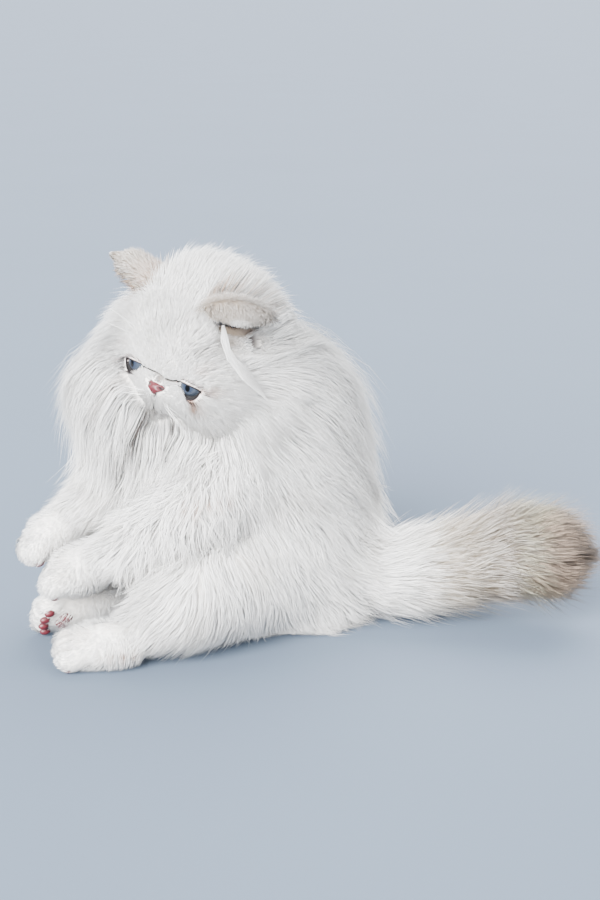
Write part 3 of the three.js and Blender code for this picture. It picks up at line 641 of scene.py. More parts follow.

# The markings, which skin and coat share: white, beige on the backs of the ears, cream to umber
# along the tail, faint peach round the eyes, grey on the whisker pads, and dark folds of bare skin.
# Some of it is painted shade: the faint grey over the eyes, before and under the near ear and below
# the mouth, the grey in the clefts between the toes, the near black at the nostrils, and part of the
# dark in the folds, in the near ear's pit and at the tail's end.
# Skin and coat also share the yellow stains of flank and foot.
def linear(code):
    """A colour written as six hexadecimal digits, as linear values."""
    srgb = np.array([int(code[i:i + 2], 16) / 255 for i in (0, 2, 4)])
    return np.where(srgb < 0.04045, srgb / 12.92, ((srgb + 0.055) / 1.055) ** 2.4)


WHITE, CREAM, TAN, UMBER = (linear(c) for c in ("f7f4ef", "988b78", "584b3d", "302925"))
BEIGE, GREY, PEACH, DARK_SKIN_AND_SHADE, PINK = (linear(c) for c in ("6c5a44", "7f7871", "a5683a", "1c1310", "9c5850"))
EAR_PIT_SKIN_AND_SHADE, EAR_INSIDE, LID_SKIN = (linear(c) for c in ("2a1210", "38201b", "070405"))
CLEFT_DEPTH = 2.4
LOWEST = {"skin": 0.7, "pads": 0.5, "combed": 0.9, "hair": 0.8}  # mm over the floor
SPOTS = [  # way from the skull's middle, spread in radians, colour, strength
    *[spot for side in (-1, 1) for spot in (
        ([0.815, 0.515 * side, -0.26], 0.085, PEACH * 0.6, 0.6 + 0.3 * side),  # tear stain
        ([0.75, 0.66 * side, -0.03], 0.055, PEACH * 0.7, 0.5 + 0.2 * side),  # outer corner
        ([0.81, 0.55 * side, 0.17], 0.08, PEACH, 0.25 + 0.1 * side),  # brow
        # Grey over the brow: painted shade under the near ear, fainter on the far side.
        ([0.81, 0.45 * side, 0.37], 0.1, GREY, 0.35 + 0.2 * side),  # over the brow
        # Grey before the ear: painted shade under the ear's front, fainter on the far side.
        ([0.62, 0.61 * side, 0.485], 0.15, GREY, 0.45 + 0.3 * side),  # before the ear
        ([0.93, 0.1 * side, -0.36], 0.07, GREY, 0.35),  # whisker pad
    )],
    ([0.4, 0.72, 0.56], 0.13, BEIGE, 0.8),  # under the near ear
    # Grey under the near ear: painted shade below the ear's hood.
    ([0.3, 0.78, 0.54], 0.1, GREY, 0.6),
    # Near black at the nostrils: painted shade in their hollows.
    *[([0.974, 0.105 * side, -0.2], 0.034, linear("1c0a0c"), 1.0) for side in (-1, 1)],
    ([0.985, 0, -0.12], 0.055, linear("7d6c60"), 0.85),  # bridge
    # Grey below the mouth: painted shade under the muzzle.
    ([0.86, 0, -0.5], 0.11, GREY, 0.75),  # lower lip
]
STAINS = [([-50, -78, 95], [17, 18, 3.5]), ([-64, -76, 90], [6, 18, 5]), ([-78, -75, 137], [6, 16, 3]),
          ([-104, -103, 10], [10, 12, 3.5])]
INNER_EAR = [[0.0, 0.86, 0.51], [0.43, 0.71, 0.56]]
WHISKER_ROOTS = np.array([
    [0.935 - 0.02 * row - 0.02 * k, (0.1 + 0.05 * k) * side, -0.3 - 0.055 * row - 0.012 * k]
    for side in (-1, 1) for row in range(3) for k in range(3)])


def tinted(colour, other, weight):
    """Colours mixed with another by weights from 0 to 1."""
    return colour + (other - colour) * np.clip(weight, 0, 1)[:, None]


def stains(p):
    """Faint stains, from 0 to 1: bells about four places, broken up by sines."""
    broken = smooth(np.sin(p[..., 0] * 0.9) + np.sin(p[..., 2] * 1.3 + p[..., 1] * 0.6), -0.8, 1.0)
    return sum(np.exp(-(((p - place) / size) ** 2).sum(-1)) for place, size in STAINS) * broken


def markings(p):
    """Linear colour at points of skin or roots of hair, from their place alone: smooth steps along
    the tail, and bells exp(-(angle / spread)^2) about directions of the face."""
    colour = np.tile(WHITE, (len(p), 1))
    x, y, z = p.T
    streaks = np.sin(x * 0.11 + z * 0.05 + 2 * np.sin(y * 0.07)) * np.sin(z * 0.08 - x * 0.06 + 1.3)
    colour = tinted(colour, CREAM, 0.28 * smooth(streaks, 0.35, 0.9) * smooth(-z, -150, -120))
    tail = smooth(x, 42, 54) * smooth(-z, -100, -80)
    colour = tinted(colour, CREAM, tail * smooth(x, 44, 74))
    colour = tinted(colour, TAN, tail * smooth(x, 66, 112))
    # Umber in a bell about the tail's end: the tip's own darker colour, and partly painted shade in the
    # middle of its rosette of hair.
    end = forms["tail_tip"].line[-1]
    colour = tinted(colour, UMBER, tail * np.exp(-(np.linalg.norm(p - end, axis=1) / 25) ** 2) * 0.9)
    own = to_head(p)
    near = smooth(-np.linalg.norm(own, axis=1), -62, -54)
    d = unit(own)
    for way, spread, other, strength in SPOTS:
        colour = tinted(colour, other, near * strength * np.exp(-((angle_to(d, way) / spread) ** 2)))
    # Folds darken the colour: the skin's own dark line, and painted shade in the groove.
    for line, spread, _, strength in FOLDS:
        colour = tinted(colour, DARK_SKIN_AND_SHADE, near * strength * np.exp(-((line_angle(d, line) / spread) ** 2)))
    dots = sum(np.exp(-((angle_to(d, way) / 0.014) ** 2)) for way in WHISKER_ROOTS)
    colour = tinted(colour, GREY * 0.6, near * 0.6 * dots)
    for side in (-1, 1):
        middle, axes = eye_axes(side)
        place = (own - middle) @ axes.T
        inside = np.min([gap + edge for gap, edge in zip(lid_gaps(place), DARK_EDGE)], axis=0)
        at_eye = (place[:, 0] > 0) & (np.linalg.norm(place, axis=1) < 13)
        colour = tinted(colour, PINK, 0.4 * smooth(inside, -0.6, 0.1) * at_eye)
        colour = tinted(colour, LID_SKIN, smooth(inside, 0, 0.35) * at_eye)
    for ear in ears.values():
        reach, _, _, place, _ = ear.locate(p)
        on_ear = smooth(-reach, -1.35, -1.1)
        colour = tinted(colour, BEIGE, on_ear * (0.9 - 0.5 * smooth(place[:, 1], 0.8, 0.92)))
        colour = tinted(colour, PEACH, on_ear * smooth(-place[:, 1], -0.5, -0.35) * 0.2)
        colour = tinted(colour, GREY * 0.8, on_ear * smooth(x, -44, -26) * 0.6)
    # The near ear's pit: dark skin, and painted shade deep in the hollow under the ear.
    colour = tinted(colour, EAR_PIT_SKIN_AND_SHADE, near * np.exp(-((angle_to(d, INNER_EAR[0]) / 0.14) ** 4)))
    # Painted shade: the clefts between the toes are darkened towards grey by their depth.
    return tinted(colour, GREY * 0.4, 0.95 * clefts(p))


def clefts(p):
    """Depth of the clefts between the toes, from 0 to 1: bells across the foot, from its front back
    to the middle."""
    depth = np.zeros(len(p))
    for paw in PAWS.values():
        forward, aside, up = ((p - np.array(paw["toes"])) @ paw_axes(paw).T / paw["size"]).T
        lines = sum(np.exp(-(((aside - TOE_GAP * k) / 1.5) ** 2)) for k in (-1, 0, 1))
        here = (forward < 14) * (np.abs(up) < 12) * (np.abs(aside) < 12)
        depth = np.maximum(depth, lines * smooth(forward, -6, 2) * here)
    return depth


def in_cup(p):
    """How far points lie inside an ear's cup, from 0 to 1: the oval midway through its wall."""
    depth = np.zeros(len(p))
    for ear in ears.values():
        _, _, _, place, _ = ear.locate(p)
        middle, _, front, side, sizes = ear.station((1 - np.cos(np.pi * place[:, 1])) / 2)
        end = np.maximum(np.sin(np.pi * place[:, 1]), 1e-3) ** ear.blunt
        off = p - middle
        deep, wide = (np.maximum(sizes[:, k] * end - EAR_WALL * 0.5, 0.5) for k in (0, 1))
        oval = np.hypot(dot(off, front) / deep, dot(off, side) / wide)
        depth = np.maximum(depth, smooth(-oval, -1, -0.93) * (place[:, 1] > 0.25))
    return depth


def colour_attribute(mesh, name, colours):
    """Gives a mesh one linear colour a vertex."""
    layer = mesh.color_attributes.new(name, "FLOAT_COLOR", "POINT")
    values = np.column_stack([colours, np.ones(len(colours))])
    layer.data.foreach_set("color", values.astype(np.float32).ravel())


def mesh_arrays(mesh):
    """Points in millimetres, their normals, and triangles of a mesh, as arrays."""
    points, normals = (np.zeros(len(mesh.vertices) * 3, np.float32) for _ in range(2))
    mesh.vertices.foreach_get("co", points)
    mesh.vertices.foreach_get("normal", normals)
    mesh.calc_loop_triangles()
    triangles = np.zeros(len(mesh.loop_triangles) * 3, np.int32)
    mesh.loop_triangles.foreach_get("vertices", triangles)
    points, normals = (values.reshape(-1, 3).astype(float) for values in (points, normals))
    return points / MM, normals, triangles.reshape(-1, 3)


def skin_finish():
    """Skin with down on it: the markings, mottled by noise, with short hairs as fine noise in the
    bump."""
    look = Finish("skin")
    mottle, down = look.noise(Scale=260.0, Detail=5.0), look.noise(Scale=1500.0, Detail=3.0)
    colour = look.times(look.painted("markings"), look.ramp(mottle, (0.80, 0.78, 0.76), (1, 1, 1)))
    return look.done(colour, down, 0.5, 0.0004, Roughness=0.75, Specular_IOR_Level=0.3)


skin_points, skin_normals, skin_faces = mesh_arrays(skin.data)
skin_points = skin_points - skin_normals * (CLEFT_DEPTH * clefts(skin_points))[:, None]
skin_points[:, 2] = np.maximum(skin_points[:, 2], LOWEST["skin"])
skin.data.vertices.foreach_set("co", (skin_points * MM).astype(np.float32).ravel())
skin_colours = tinted(markings(skin_points), PEACH * 0.8, 0.95 * stains(skin_points))
skin_colours = tinted(skin_colours, EAR_INSIDE, in_cup(skin_points))
colour_attribute(skin.data, "markings", skin_colours)
skin.data.materials.clear()
skin.data.materials.append(skin_finish())
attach(skin, "root")
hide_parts("head", "neck", "torso", "ear_left", "ear_right", *FORMS, *PAWS)

# The eyes: a ball with a clear bulge over a grey-blue iris, a small upright pupil and a dark ring
# round the iris. They sit behind the lids.
IRIS, PUPIL = 8.5, (1.5, 2.6)
IRIS_RINGS = [(0.0, "1c222d"), (0.3, "2b3341"), (0.5, "3a414b"), (0.85, "41474e"), (0.95, "14181f"),
              (1.0, "050405")]
BULGE = 0.7


def eye_finish():
    """Iris by distance r from the middle of the gaze: pupil where an oval of y and z is under 1, dark
    blue near it, grey further out, fine rays by noise of the angle, and a dark ring at the rim."""
    look = Finish("eye")
    parts = look.add("SeparateXYZ")
    look.link(look.add("Attribute", attribute_name="gaze").outputs["Vector"], parts.inputs[0])

    def sum_of(operation, a, b=None):
        """One step of arithmetic on sockets or numbers."""
        node = look.add("Math", operation=operation)
        for socket, value in zip(node.inputs, (a, b)):
            if isinstance(value, (int, float)):
                socket.default_value = value
            elif value is not None:
                look.link(value, socket)
        return node.outputs[0]

    def oval(wide, high):
        """Distance from the middle as a share of an oval's half sizes."""
        squares = (sum_of("POWER", sum_of("DIVIDE", parts.outputs[axis], half), 2)
                   for axis, half in (("Y", wide), ("Z", high)))
        return sum_of("SQRT", sum_of("ADD", *squares))

    r, pupil = oval(IRIS, IRIS), oval(*PUPIL)
    angle = sum_of("ARCTAN2", parts.outputs["Y"], parts.outputs["Z"])
    lines = look.add("CombineXYZ")
    look.link(sum_of("MULTIPLY", angle, 9), lines.inputs["X"])
    look.link(sum_of("MULTIPLY", r, 1.6), lines.inputs["Y"])
    rays = look.add("TexNoise", noise_dimensions="2D", Scale=1.0, Detail=4.0)
    look.link(lines.outputs[0], rays.inputs["Vector"])
    iris = look.add("ValToRGB")
    for k, (at, code) in enumerate(IRIS_RINGS):
        stop = iris.color_ramp.elements[k] if k < 2 else iris.color_ramp.elements.new(at)
        stop.position = at
        stop.color = [*linear(code), 1]
    look.link(r, iris.inputs["Fac"])
    shade = look.ramp(rays.outputs["Fac"], (0.45, 0.48, 0.55), (1.25, 1.25, 1.25), (0.3, 0.7))
    rayed = look.times(iris.outputs["Color"], shade, 0.7)
    final = look.add("Mix", data_type="RGBA")
    final.inputs[6].default_value = (0.0005, 0.0005, 0.001, 1)
    edge = look.add("MapRange", From_Min=0.85, From_Max=1.1)
    look.link(pupil, edge.inputs["Value"])
    look.link(edge.outputs[0], final.inputs["Factor"])
    look.link(rayed, final.inputs[7])
    return look.done(final.outputs[2], rays.outputs["Fac"], 0.15, 0.0002, Roughness=0.3, Coat_Weight=0.4,
                     Coat_Roughness=0.03, Coat_IOR=1.33, Specular_IOR_Level=0.1)


eye_look = eye_finish()
for name, side in (("left", 1), ("right", -1)):
    middle, axes = eye_axes(side)
    sphere = unit_ball(64, 72)
    swell = 1 + BULGE / EYE["radius"] * smooth(sphere[..., 0], 0.75, 1.0)
    own = sphere * EYE["radius"] * swell[..., None]
    points, faces = closed(on_head(middle + own @ axes))
    eye = mesh_piece(f"eyeball_{name}", points, faces)
    gaze = (to_head(points) - middle) @ axes.T
    layer = eye.data.attributes.new("gaze", "FLOAT_VECTOR", "POINT")
    layer.data.foreach_set("vector", gaze.astype(np.float32).ravel())
    eye.data.materials.append(eye_look)
    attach(eye, "root")
    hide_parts(f"eye_{name}")

# The rims of the lids: bare dark skin, a soft cord round each opening, thicker at the inner corner,
# where a short dark duct runs on towards the nose.
RIM = 0.62


def tube(path, out, halves, sides=8, flat=1.0):
    """A closed tube: at each point of the path, a circle of half size halves across the path, scaled
    by flat along out, with the first and last ring drawn into their middles."""
    way = unit(np.gradient(path, axis=0))
    side = unit(np.cross(way, out))
    over = np.cross(side, way)
    turn = np.arange(sides) * 2 * np.pi / sides
    ring = side[:, None] * np.cos(turn)[None, :, None] + over[:, None] * flat * np.sin(turn)[None, :, None]
    points = path[:, None] + ring * np.asarray(halves)[:, None, None]
    ends = [np.repeat(path[k][None, None], sides, axis=1) for k in (0, -1)]
    return closed(np.concatenate([ends[0], points, ends[1]]))


def rim_finish():
    """Bare skin of the rims: near black, in two browns by noise, moist, with fine pores."""
    look = Finish("lid_rim")
    patches, pores = look.noise(Scale=420.0), look.noise(Scale=3000.0)
    return look.done(look.ramp(patches, linear("060304"), linear("120a0c")), pores, 0.3, 0.0002,
                     Roughness=0.55, Specular_IOR_Level=0.25)


rims = []
for side in (-1, 1):
    middle, axes = eye_axes(side)
    upper, lower = lid_edges()
    for edge, grow in ((upper, 0.62), (lower, 0.85)):
        share = np.linspace(0, 1, len(edge))
        middle_edge = np.array([0, -1.8])
        own = np.column_stack([np.full(len(edge), EYE["radius"] - 0.6),
                               middle_edge + (edge - middle_edge) * 1.03])
        thick = 0.75 + 0.25 * np.sin(np.pi * share) + 0.6 * np.exp(-((share / 0.12) ** 2))
        halves = RIM * grow * thick
        near_d, far_d = (unit(middle + (own * [1, k, k]) @ axes) for k in (1.0, 1.12))
        reach = np.minimum(head_skin(far_d), np.linalg.norm(middle + own @ axes, axis=1) + 2.2)
        reach = np.convolve(np.pad(reach, 4, mode="edge"), np.ones(9) / 9, mode="valid")
        path = on_head(near_d * reach[:, None])
        rims.append(tube(path, unit(path - on_head(middle)), halves))
    reach = math.sqrt((EYE["radius"] + 0.95) ** 2 - OPENING["half"] ** 2)
    corner = np.array([reach, -OPENING["half"], OPENING["inner"]])
    way = np.array([-0.1, -1, -0.25])
    own = corner + np.linspace(0, 3.6, 8)[:, None] * unit(way)
    path = on_head(middle + own @ axes)
    d = unit(to_head(path))
    path = on_head(d * (head_skin(d) + 0.15)[:, None])
    rims.append(tube(path, unit(path - HEAD_AT), np.linspace(0.8, 0.25, 8), flat=0.6))
lid_rims = mesh_piece("lid_rims", *gathered(rims))
lid_rims.data.materials.append(rim_finish())
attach(lid_rims, "root")

# The nose leather: a small pink cushion, broad above and narrow below, with a comma of a nostril in
# each upper corner, painted dark there as shade in its dent. It is bare, pebbled and a little moist.
NOSE = {"at": np.array([40.9, -0.4, -10.3]), "half": np.array([3.6, 7.0, 3.8])}
NOSTRIL = {"side": 4.6, "up": 1.9, "depth": 2.4, "across": 2.0, "high": 0.8}


def leather_finish():
    """Pink leather: two pinks mixed by noise and multiplied by the mesh's own depth colours, which darken the
    nostrils as painted shade, with Voronoi pebbles as bump and a thin moist coat.
    """
    look = Finish("nose_leather")
    patches = look.noise(Scale=350.0, Detail=4.0)
    pebbles = look.pattern("TexVoronoi", "Distance", Scale=1900.0)
    colour = look.times(look.ramp(patches, linear("3c0812"), linear("601520")), look.painted("depth"))
    return look.done(colour, pebbles, 0.35, 0.0002, Roughness=0.5, Coat_Weight=0.25, Coat_Roughness=0.3)


def leather_width(z):
    """Share of its width that the leather has at height z from -1 to 1: narrow below, broad above."""
    return 0.12 + 0.88 * smooth(z, -1.0, 0.75)


ball = unit_ball(60, 96)
ball = np.sign(ball) * np.abs(ball) ** 0.82
narrow = leather_width(ball[..., 2])
shape = ball * NOSE["half"] * np.stack([np.ones_like(narrow), narrow, np.ones_like(narrow)], axis=-1)
dent = np.zeros(shape.shape[:2])
for side in (-1, 1):
    inwards = NOSTRIL["side"] - shape[..., 1] * side
    upwards = shape[..., 2] - NOSTRIL["up"] - 0.3 * inwards
    dent = dent + np.exp(-((inwards / NOSTRIL["across"]) ** 2 + (upwards / NOSTRIL["high"]) ** 2))
dent = dent * (shape[..., 0] > 0)
cleft = 0.5 * np.exp(-((shape[..., 1] / 0.45) ** 2)) * smooth(-shape[..., 2], -1.5, 1)
shape[..., 0] -= NOSTRIL["depth"] * dent + cleft
nose_points, nose_faces = closed(on_head(NOSE["at"] + shape))
nose = mesh_piece("nose_cushion", nose_points, nose_faces)
# The nostrils' dents darken the leather towards near black: painted shade in the nostrils.
flat_dent = np.concatenate([dent[:1, 0], dent[1:-1].ravel(), dent[-1:, 0]])
colour_attribute(nose.data, "depth", np.tile(1 - 0.93 * smooth(flat_dent, 0.25, 0.75), (3, 1)).T)
leather = leather_finish()
nose.data.materials.append(leather)
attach(nose, "root")
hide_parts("nose")

# The pads under the paws: four small toe pads and a large one with three lobes, bare and pink.
pads = []
for name, paw in PAWS.items():
    size, axes = paw["size"], paw_axes(paw)
    for i in TOES:
        place = on_paw(paw, 4.2 - abs(i) * 1.9, i * TOE_GAP, -7.4)
        pads.append(oval_ball(place, np.array([3.2, 2.3, 2.2]) * size, axes))
    for i in (-1, 0, 1):
        place = on_paw(paw, -9 + 2.2 * (i == 0), i * 3.6, -8.7)
        pads.append(oval_ball(place, np.array([4.2, 3.6, 3.2]) * size, axes))
pad_points, pad_faces = gathered(pads)
pad_points[:, 2] = np.maximum(pad_points[:, 2], LOWEST["pads"])
paw_pads = mesh_piece("paw_pads", pad_points, pad_faces)
colour_attribute(paw_pads.data, "depth", np.ones((len(pad_points), 3)))
paw_pads.data.materials.append(leather)
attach(paw_pads, "root")

# The coat: hair in fine tapered tufts, each rooted in the skin and combed along the lie of the
# coat, with its neighbours drawn together into locks and a few stray hairs that stand out.
chance = np.random.default_rng(20)
SPARSE = 1.0
PATCH = 0.003
JITTER = chance.random((24, 24, 24, 3))
head = Head()
whole = {"head": head, **forms, **feet}
NEAR_FORELEGS = ("foreleg_left", "foreleg_right")
NEAR_HINDLEGS = ("hindleg_left", "hindleg_right")
# Where the coat of chest, back and flanks is seen to run: places, and the ways of the hair there
GUIDES = np.array([
    [[10, -60, 122], [0.75, 0, -0.62]], [[34, -46, 100], [0.85, 0.05, -0.5]],
    [[2, -70, 92], [0.5, 0, -0.85]], [[-24, -72, 66], [0.1, 0, -1]],
    [[4, -72, 34], [0.45, -0.15, -0.85]], [[28, -50, 50], [0.85, 0, -0.45]],
    [[-44, -72, 30], [-0.1, -0.15, -0.95]], [[-64, -60, 78], [-0.25, 0, -0.95]],
    [[-28, -62, 138], [0.45, 0, -0.85]], [[-12, -48, 165], [0.75, 0, -0.55]],
    [[-52, -62, 150], [0.3, -0.1, -0.95]], [[-78, -50, 128], [-0.2, -0.2, -0.95]],
    [[42, 0, 150], [0.6, 0, -0.75]], [[48, 0, 105], [0.7, 0, -0.6]],
    [[48, 0, 58], [0.85, 0, -0.4]], [[10, 62, 122], [0.6, 0.1, -0.75]],
    [[2, 68, 80], [0.35, 0.1, -0.9]], [[4, 68, 34], [0.5, 0.2, -0.8]],
    [[-40, 66, 60], [0, 0.1, -1]], [[-52, 60, 140], [-0.1, 0.35, -0.9]],
    [[-86, 46, 150], [-0.6, 0.35, -0.6]], [[-104, -8, 142], [-0.4, -0.1, -0.9]],
    [[-90, -4, 105], [-0.3, 0, -0.95]], [[-72, 0, 62], [-0.35, 0, -0.9]],
    [[-20, 0, 8], [0.3, 0, -0.95]],
], float)
GUIDE_SPREAD = 38.0
BLEND = 5.0


def flow(p):
    """Lie of the trunk's coat: mean of the guides' ways, each weighted by
    exp(-(distance / spread)^2)."""
    gap = ((p[:, None] - GUIDES[None, :, 0]) ** 2).sum(-1)
    weight = np.exp(-(gap - gap.min(axis=1, keepdims=True)) / GUIDE_SPREAD**2)
    return unit(weight @ GUIDES[:, 1])


def tail_lie(form):
    """Along the form's path at the nearest station."""
    def lie(p):
        """The form's own way."""
        return form.way[np.argmin(((p[:, None] - form.line[None, ::16]) ** 2).sum(-1), axis=1) * 16]
    return lie


def limb_lie(form, droop):
    """The trunk's lie at the start of a limb, and along the limb and down further out."""
    def lie(p):
        """The two ways, mixed by how far out along the limb."""
        near = np.argmin(((p[:, None] - form.line[None, ::16]) ** 2).sum(-1), axis=1) * 16
        out = smooth(near / (STATIONS - 1), 0.45, 0.8)[:, None]
        return unit(flow(p) * (1 - out) + (form.way[near] - np.array([0, 0, droop])) * out)
    return lie


def head_lie(p):
    """Away from the face over the skull, and down, more so on cheeks and jaw."""
    d = unit(to_head(p))
    back = 1.8 - 0.8 * smooth(-d[:, 1], 0.4, 0.8)
    lie = unit(d * 1.7 - back[:, None] * unit(np.array([0.97, 0, -0.23]))) @ HEAD_AXES
    lie[:, 2] -= 0.5 * smooth(-d[:, 2], 0, 0.6) + 1.3 * smooth(-d[:, 1], 0.4, 0.8)
    return unit(lie)


LIES = {"head": head_lie, "torso": flow, "neck": flow,
        **{name: tail_lie(forms[name]) for name in forms if "tail" in name},
        **{name: limb_lie(forms[name], 0.5 if "fore" in name else 0.3) for name in forms if "leg" in name},
        **{name: limb_lie(feet[name], 0.25) for name in feet}}


def surroundings(p, near, share):
    """The coat of several forms as one: each form counts by exp(-distance / blend) from its surface.
    Gives how far points lie under that surface at share, the way outwards, the lie of the coat,
    turned to and fro by slow waves, and its depth."""
    found = [whole[name].locate(p, share) for name in near]
    over = np.stack([(f[0] - 1) * f[2] for f in found])
    weight = np.exp((over.min(axis=0) - over) / BLEND)
    depth = BLEND * np.log(weight.sum(axis=0)) - over.min(axis=0)
    weight = weight / weight.sum(axis=0)
    out = unit(sum(w[:, None] * f[1] for w, f in zip(weight, found)))
    coat = sum(w * f[4] for w, f in zip(weight, found))
    lie = unit(sum(w[:, None] * LIES[name](p) for w, name in zip(weight, near)))
    turn = 0.2 * (np.sin(p @ [0.19, 0.12, 0.16]) + np.sin(p @ [-0.11, 0.23, 0.19] + 1.7))[:, None]
    turn = turn + 0.12 * np.sin(p @ [0.41, -0.33, 0.37] + 0.6)[:, None]
    return depth, out, unit(lie * np.cos(turn) + np.cross(out, lie) * np.sin(turn)), coat


def clumps(roots, size):
    """Numbers the lock that each root belongs to: the nearest of one random point in each cube of
    that size."""
    cube = np.floor(roots / size).astype(int)
    nearest, number = np.full(len(roots), 1e9), np.zeros(len(roots), int)
    for step in np.ndindex(3, 3, 3):
        cell = cube + np.array(step) - 1
        gap = ((roots - (cell + JITTER[tuple((cell % 24).T)]) * size) ** 2).sum(1)
        key = (cell[:, 0] + 500) * 1000000 + (cell[:, 1] + 500) * 1000 + cell[:, 2] + 500
        number = np.where(gap < nearest, key, number)
        nearest = np.minimum(gap, nearest)
    return np.unique(number, return_inverse=True)[1].ravel()


def comb(near, roots, normals, length, rise, steps, lift):
    """Paths of hairs, and the way outwards along them. At each step a hair turns towards the lie of
    the coat, moves on, and is lifted or pressed to its share of the coat's depth."""
    at, way, out, path, outs = roots, normals, normals, [roots], [normals]
    lie = surroundings(roots, near, SKIN_AT)[2]
    for k in range(1, steps + 1):
        f, step = k / steps, (length / steps)[:, None]
        wish = unit(lie - out * dot(lie, out)[:, None]) + out * (lift * (1 - 0.7 * f))[:, None]
        way = unit(way * (0.3 if k == 1 else 0.5) + unit(wish))
        at = at + way * step
        depth, out, lie, _ = surroundings(at, near, SKIN_AT + (rise - SKIN_AT) * f**0.75)
        at = at + out * np.clip(depth[:, None], -0.15 * step, 0.45 * step)
        at = np.column_stack([at[:, :2], np.maximum(at[:, 2], LOWEST["combed"])])
        path.append(at)
        outs.append(out)
    path = np.stack(path, axis=1)
    path[:, 1:-1] = 0.5 * path[:, 1:-1] + 0.25 * (path[:, :-2] + path[:, 2:])
    return path, np.stack(outs, axis=1)


def locked(path, number, strength, wave, normals):
    """Draws hairs towards the mean path of their lock, by strength times f^1.4, bends each lock
    sideways by a sine of its own phase, and throws its tip aside and up by f^2."""
    count, steps = number.max() + 1, path.shape[1] - 1
    f = np.arange(steps + 1) / steps
    members = np.bincount(number, minlength=count)[:, None, None]
    mean = np.stack([np.bincount(number, path[:, k, i], count)
                     for k in range(steps + 1) for i in range(3)], -1)
    mean = mean.reshape(count, steps + 1, 3) / members
    path = path + (mean[number] - path) * (strength[:, None] * f**1.4)[:, :, None]
    side = unit(np.cross(path[:, -1] - path[:, 0], normals))
    phase, swing = chance.random(count)[number], chance.uniform(0.6, 1.4, count)[number]
    bend = wave * swing[:, None] * f * np.sin(2 * np.pi * (0.8 * f + phase[:, None]))
    aside = wave * chance.normal(0, 0.8, count)[number]
    aloft = wave * chance.normal(0, 0.45, count)[number]
    path = path + side[:, None] * (bend + aside[:, None] * f**2)[:, :, None]
    return path + normals[:, None] * (aloft[:, None] * f**2)[:, :, None]


def hair_mesh(name, path, outs, halves, colours, places):
    """Hairs as closed spindles with a three-sided section: a point in the skin, rings of half size
    halves times a taper, and a tip. Their shading leans to the way outwards, so that a coat
    is lit as one soft mass. Colour goes from a shaded root to a lighter tip. Each hair has its own
    patch of the bake map, at its root's place on the unwrapped form."""
    count, steps = len(path), path.shape[1] - 1
    way = unit(np.gradient(path, axis=1))
    side = unit(np.cross(way, outs))
    over = np.cross(side, way)
    rings = np.arange(1, steps)
    taper = np.array([1.0, 0.8, 0.6])[:steps - 1] if steps > 2 else np.array([1.0])
    turn = np.array([[0, 0.6], [-1, -0.3], [1, -0.3]])
    spoke = side[:, rings, None] * turn[:, 0, None] + over[:, rings, None] * turn[:, 1, None]
    ring = path[:, rings, None] + spoke * (halves[:, None] * taper)[:, :, None, None]
    points = np.concatenate([path[:, :1], ring.reshape(count, -1, 3), path[:, -1:]], axis=1)
    leaned = unit(outs[:, rings, None] * 0.8 + unit(spoke) * 0.28)
    normals = np.concatenate([outs[:, :1], leaned.reshape(count, -1, 3), outs[:, -1:]], axis=1)
    each, faces, charts = points.shape[1], [], []
    for a in range(3):
        b = (a + 1) % 3
        for k in range(steps):
            low, high, near, far = k / steps, (k + 1) / steps, 1 + 3 * (k - 1), 1 + 3 * k
            corner = {near + a: (a / 3, low), near + b: ((a + 1) / 3, low),
                      far + a: (a / 3, high), far + b: ((a + 1) / 3, high)}
            if k == 0:
                faces.append([0, far + a, far + b])
                charts.append([((a + 0.5) / 3, 0), corner[far + a], corner[far + b]])
            elif k < steps - 1:
                faces += [[near + a, far + b, near + b], [near + a, far + a, far + b]]
                charts += [[corner[n] for n in face] for face in faces[-2:]]
            else:
                faces.append([near + a, each - 1, near + b])
                charts.append([corner[near + a], ((a + 0.5) / 3, 1), corner[near + b]])
    faces, charts = np.array(faces), np.array(charts)
    turned = outward(points[0], faces)[1]
    charts = charts if turned is faces else charts[:, ::-1]
    all_faces = (turned[None] + (np.arange(count) * each)[:, None, None]).reshape(-1, 3)
    piece = mesh_piece(name, points.reshape(-1, 3), all_faces)
    shading = piece.data.attributes.new("custom_normal", "FLOAT_VECTOR", "POINT")
    shading.data.foreach_set("vector", normals.astype(np.float32).ravel())
    shade = np.concatenate([[0.78], np.repeat(0.84 + 0.13 * rings / steps, 3), [1.0]])
    tones = np.clip(colours[:, None] * shade[None, :, None], 0, 1).reshape(-1, 3)
    colour_attribute(piece.data, "coat", tinted(tones, PEACH * 0.8, 0.95 * stains(points.reshape(-1, 3))))
    uv = places[:, None, None] + (charts[None] - 0.5) * PATCH
    layer = piece.data.uv_layers.new(name="OFBake")
    layer.data.foreach_set("uv", np.clip(uv, 0, 1).astype(np.float32).ravel())
    return piece


def coat_finish(name, sheen):
    """Hair: the piece's own colours, mottled along and between hairs by noise, with a soft sheen,
    light that passes through it, and fine noise as bump."""
    look = Finish(name)
    mottle, fine = look.noise(Scale=90.0, Detail=4.0), look.noise(Scale=2500.0)
    shade = look.ramp(mottle, (0.93, 0.925, 0.915), (1, 1, 1), (0.3, 0.62))
    return look.done(look.times(look.painted("coat"), shade), fine, 0.15, 0.0001, Roughness=0.62,
                     Specular_IOR_Level=0.3, Sheen_Weight=sheen, Sheen_Roughness=0.4, Subsurface_Weight=0.6,
                     Subsurface_Radius=(1, 0.95, 0.9), Subsurface_Scale=0.0015)


LONGEST = 60  # mm that a hair may be long
ROOT_DEPTH = 0.8  # and that its root lies in the skin
LOOKS = {slot: coat_finish(slot, sheen) for slot, sheen in
         (("coat_white", 0.3), ("ear_coat", 0.06), ("tail_coat", 0.1), ("tail_tip_coat", 0.05))}

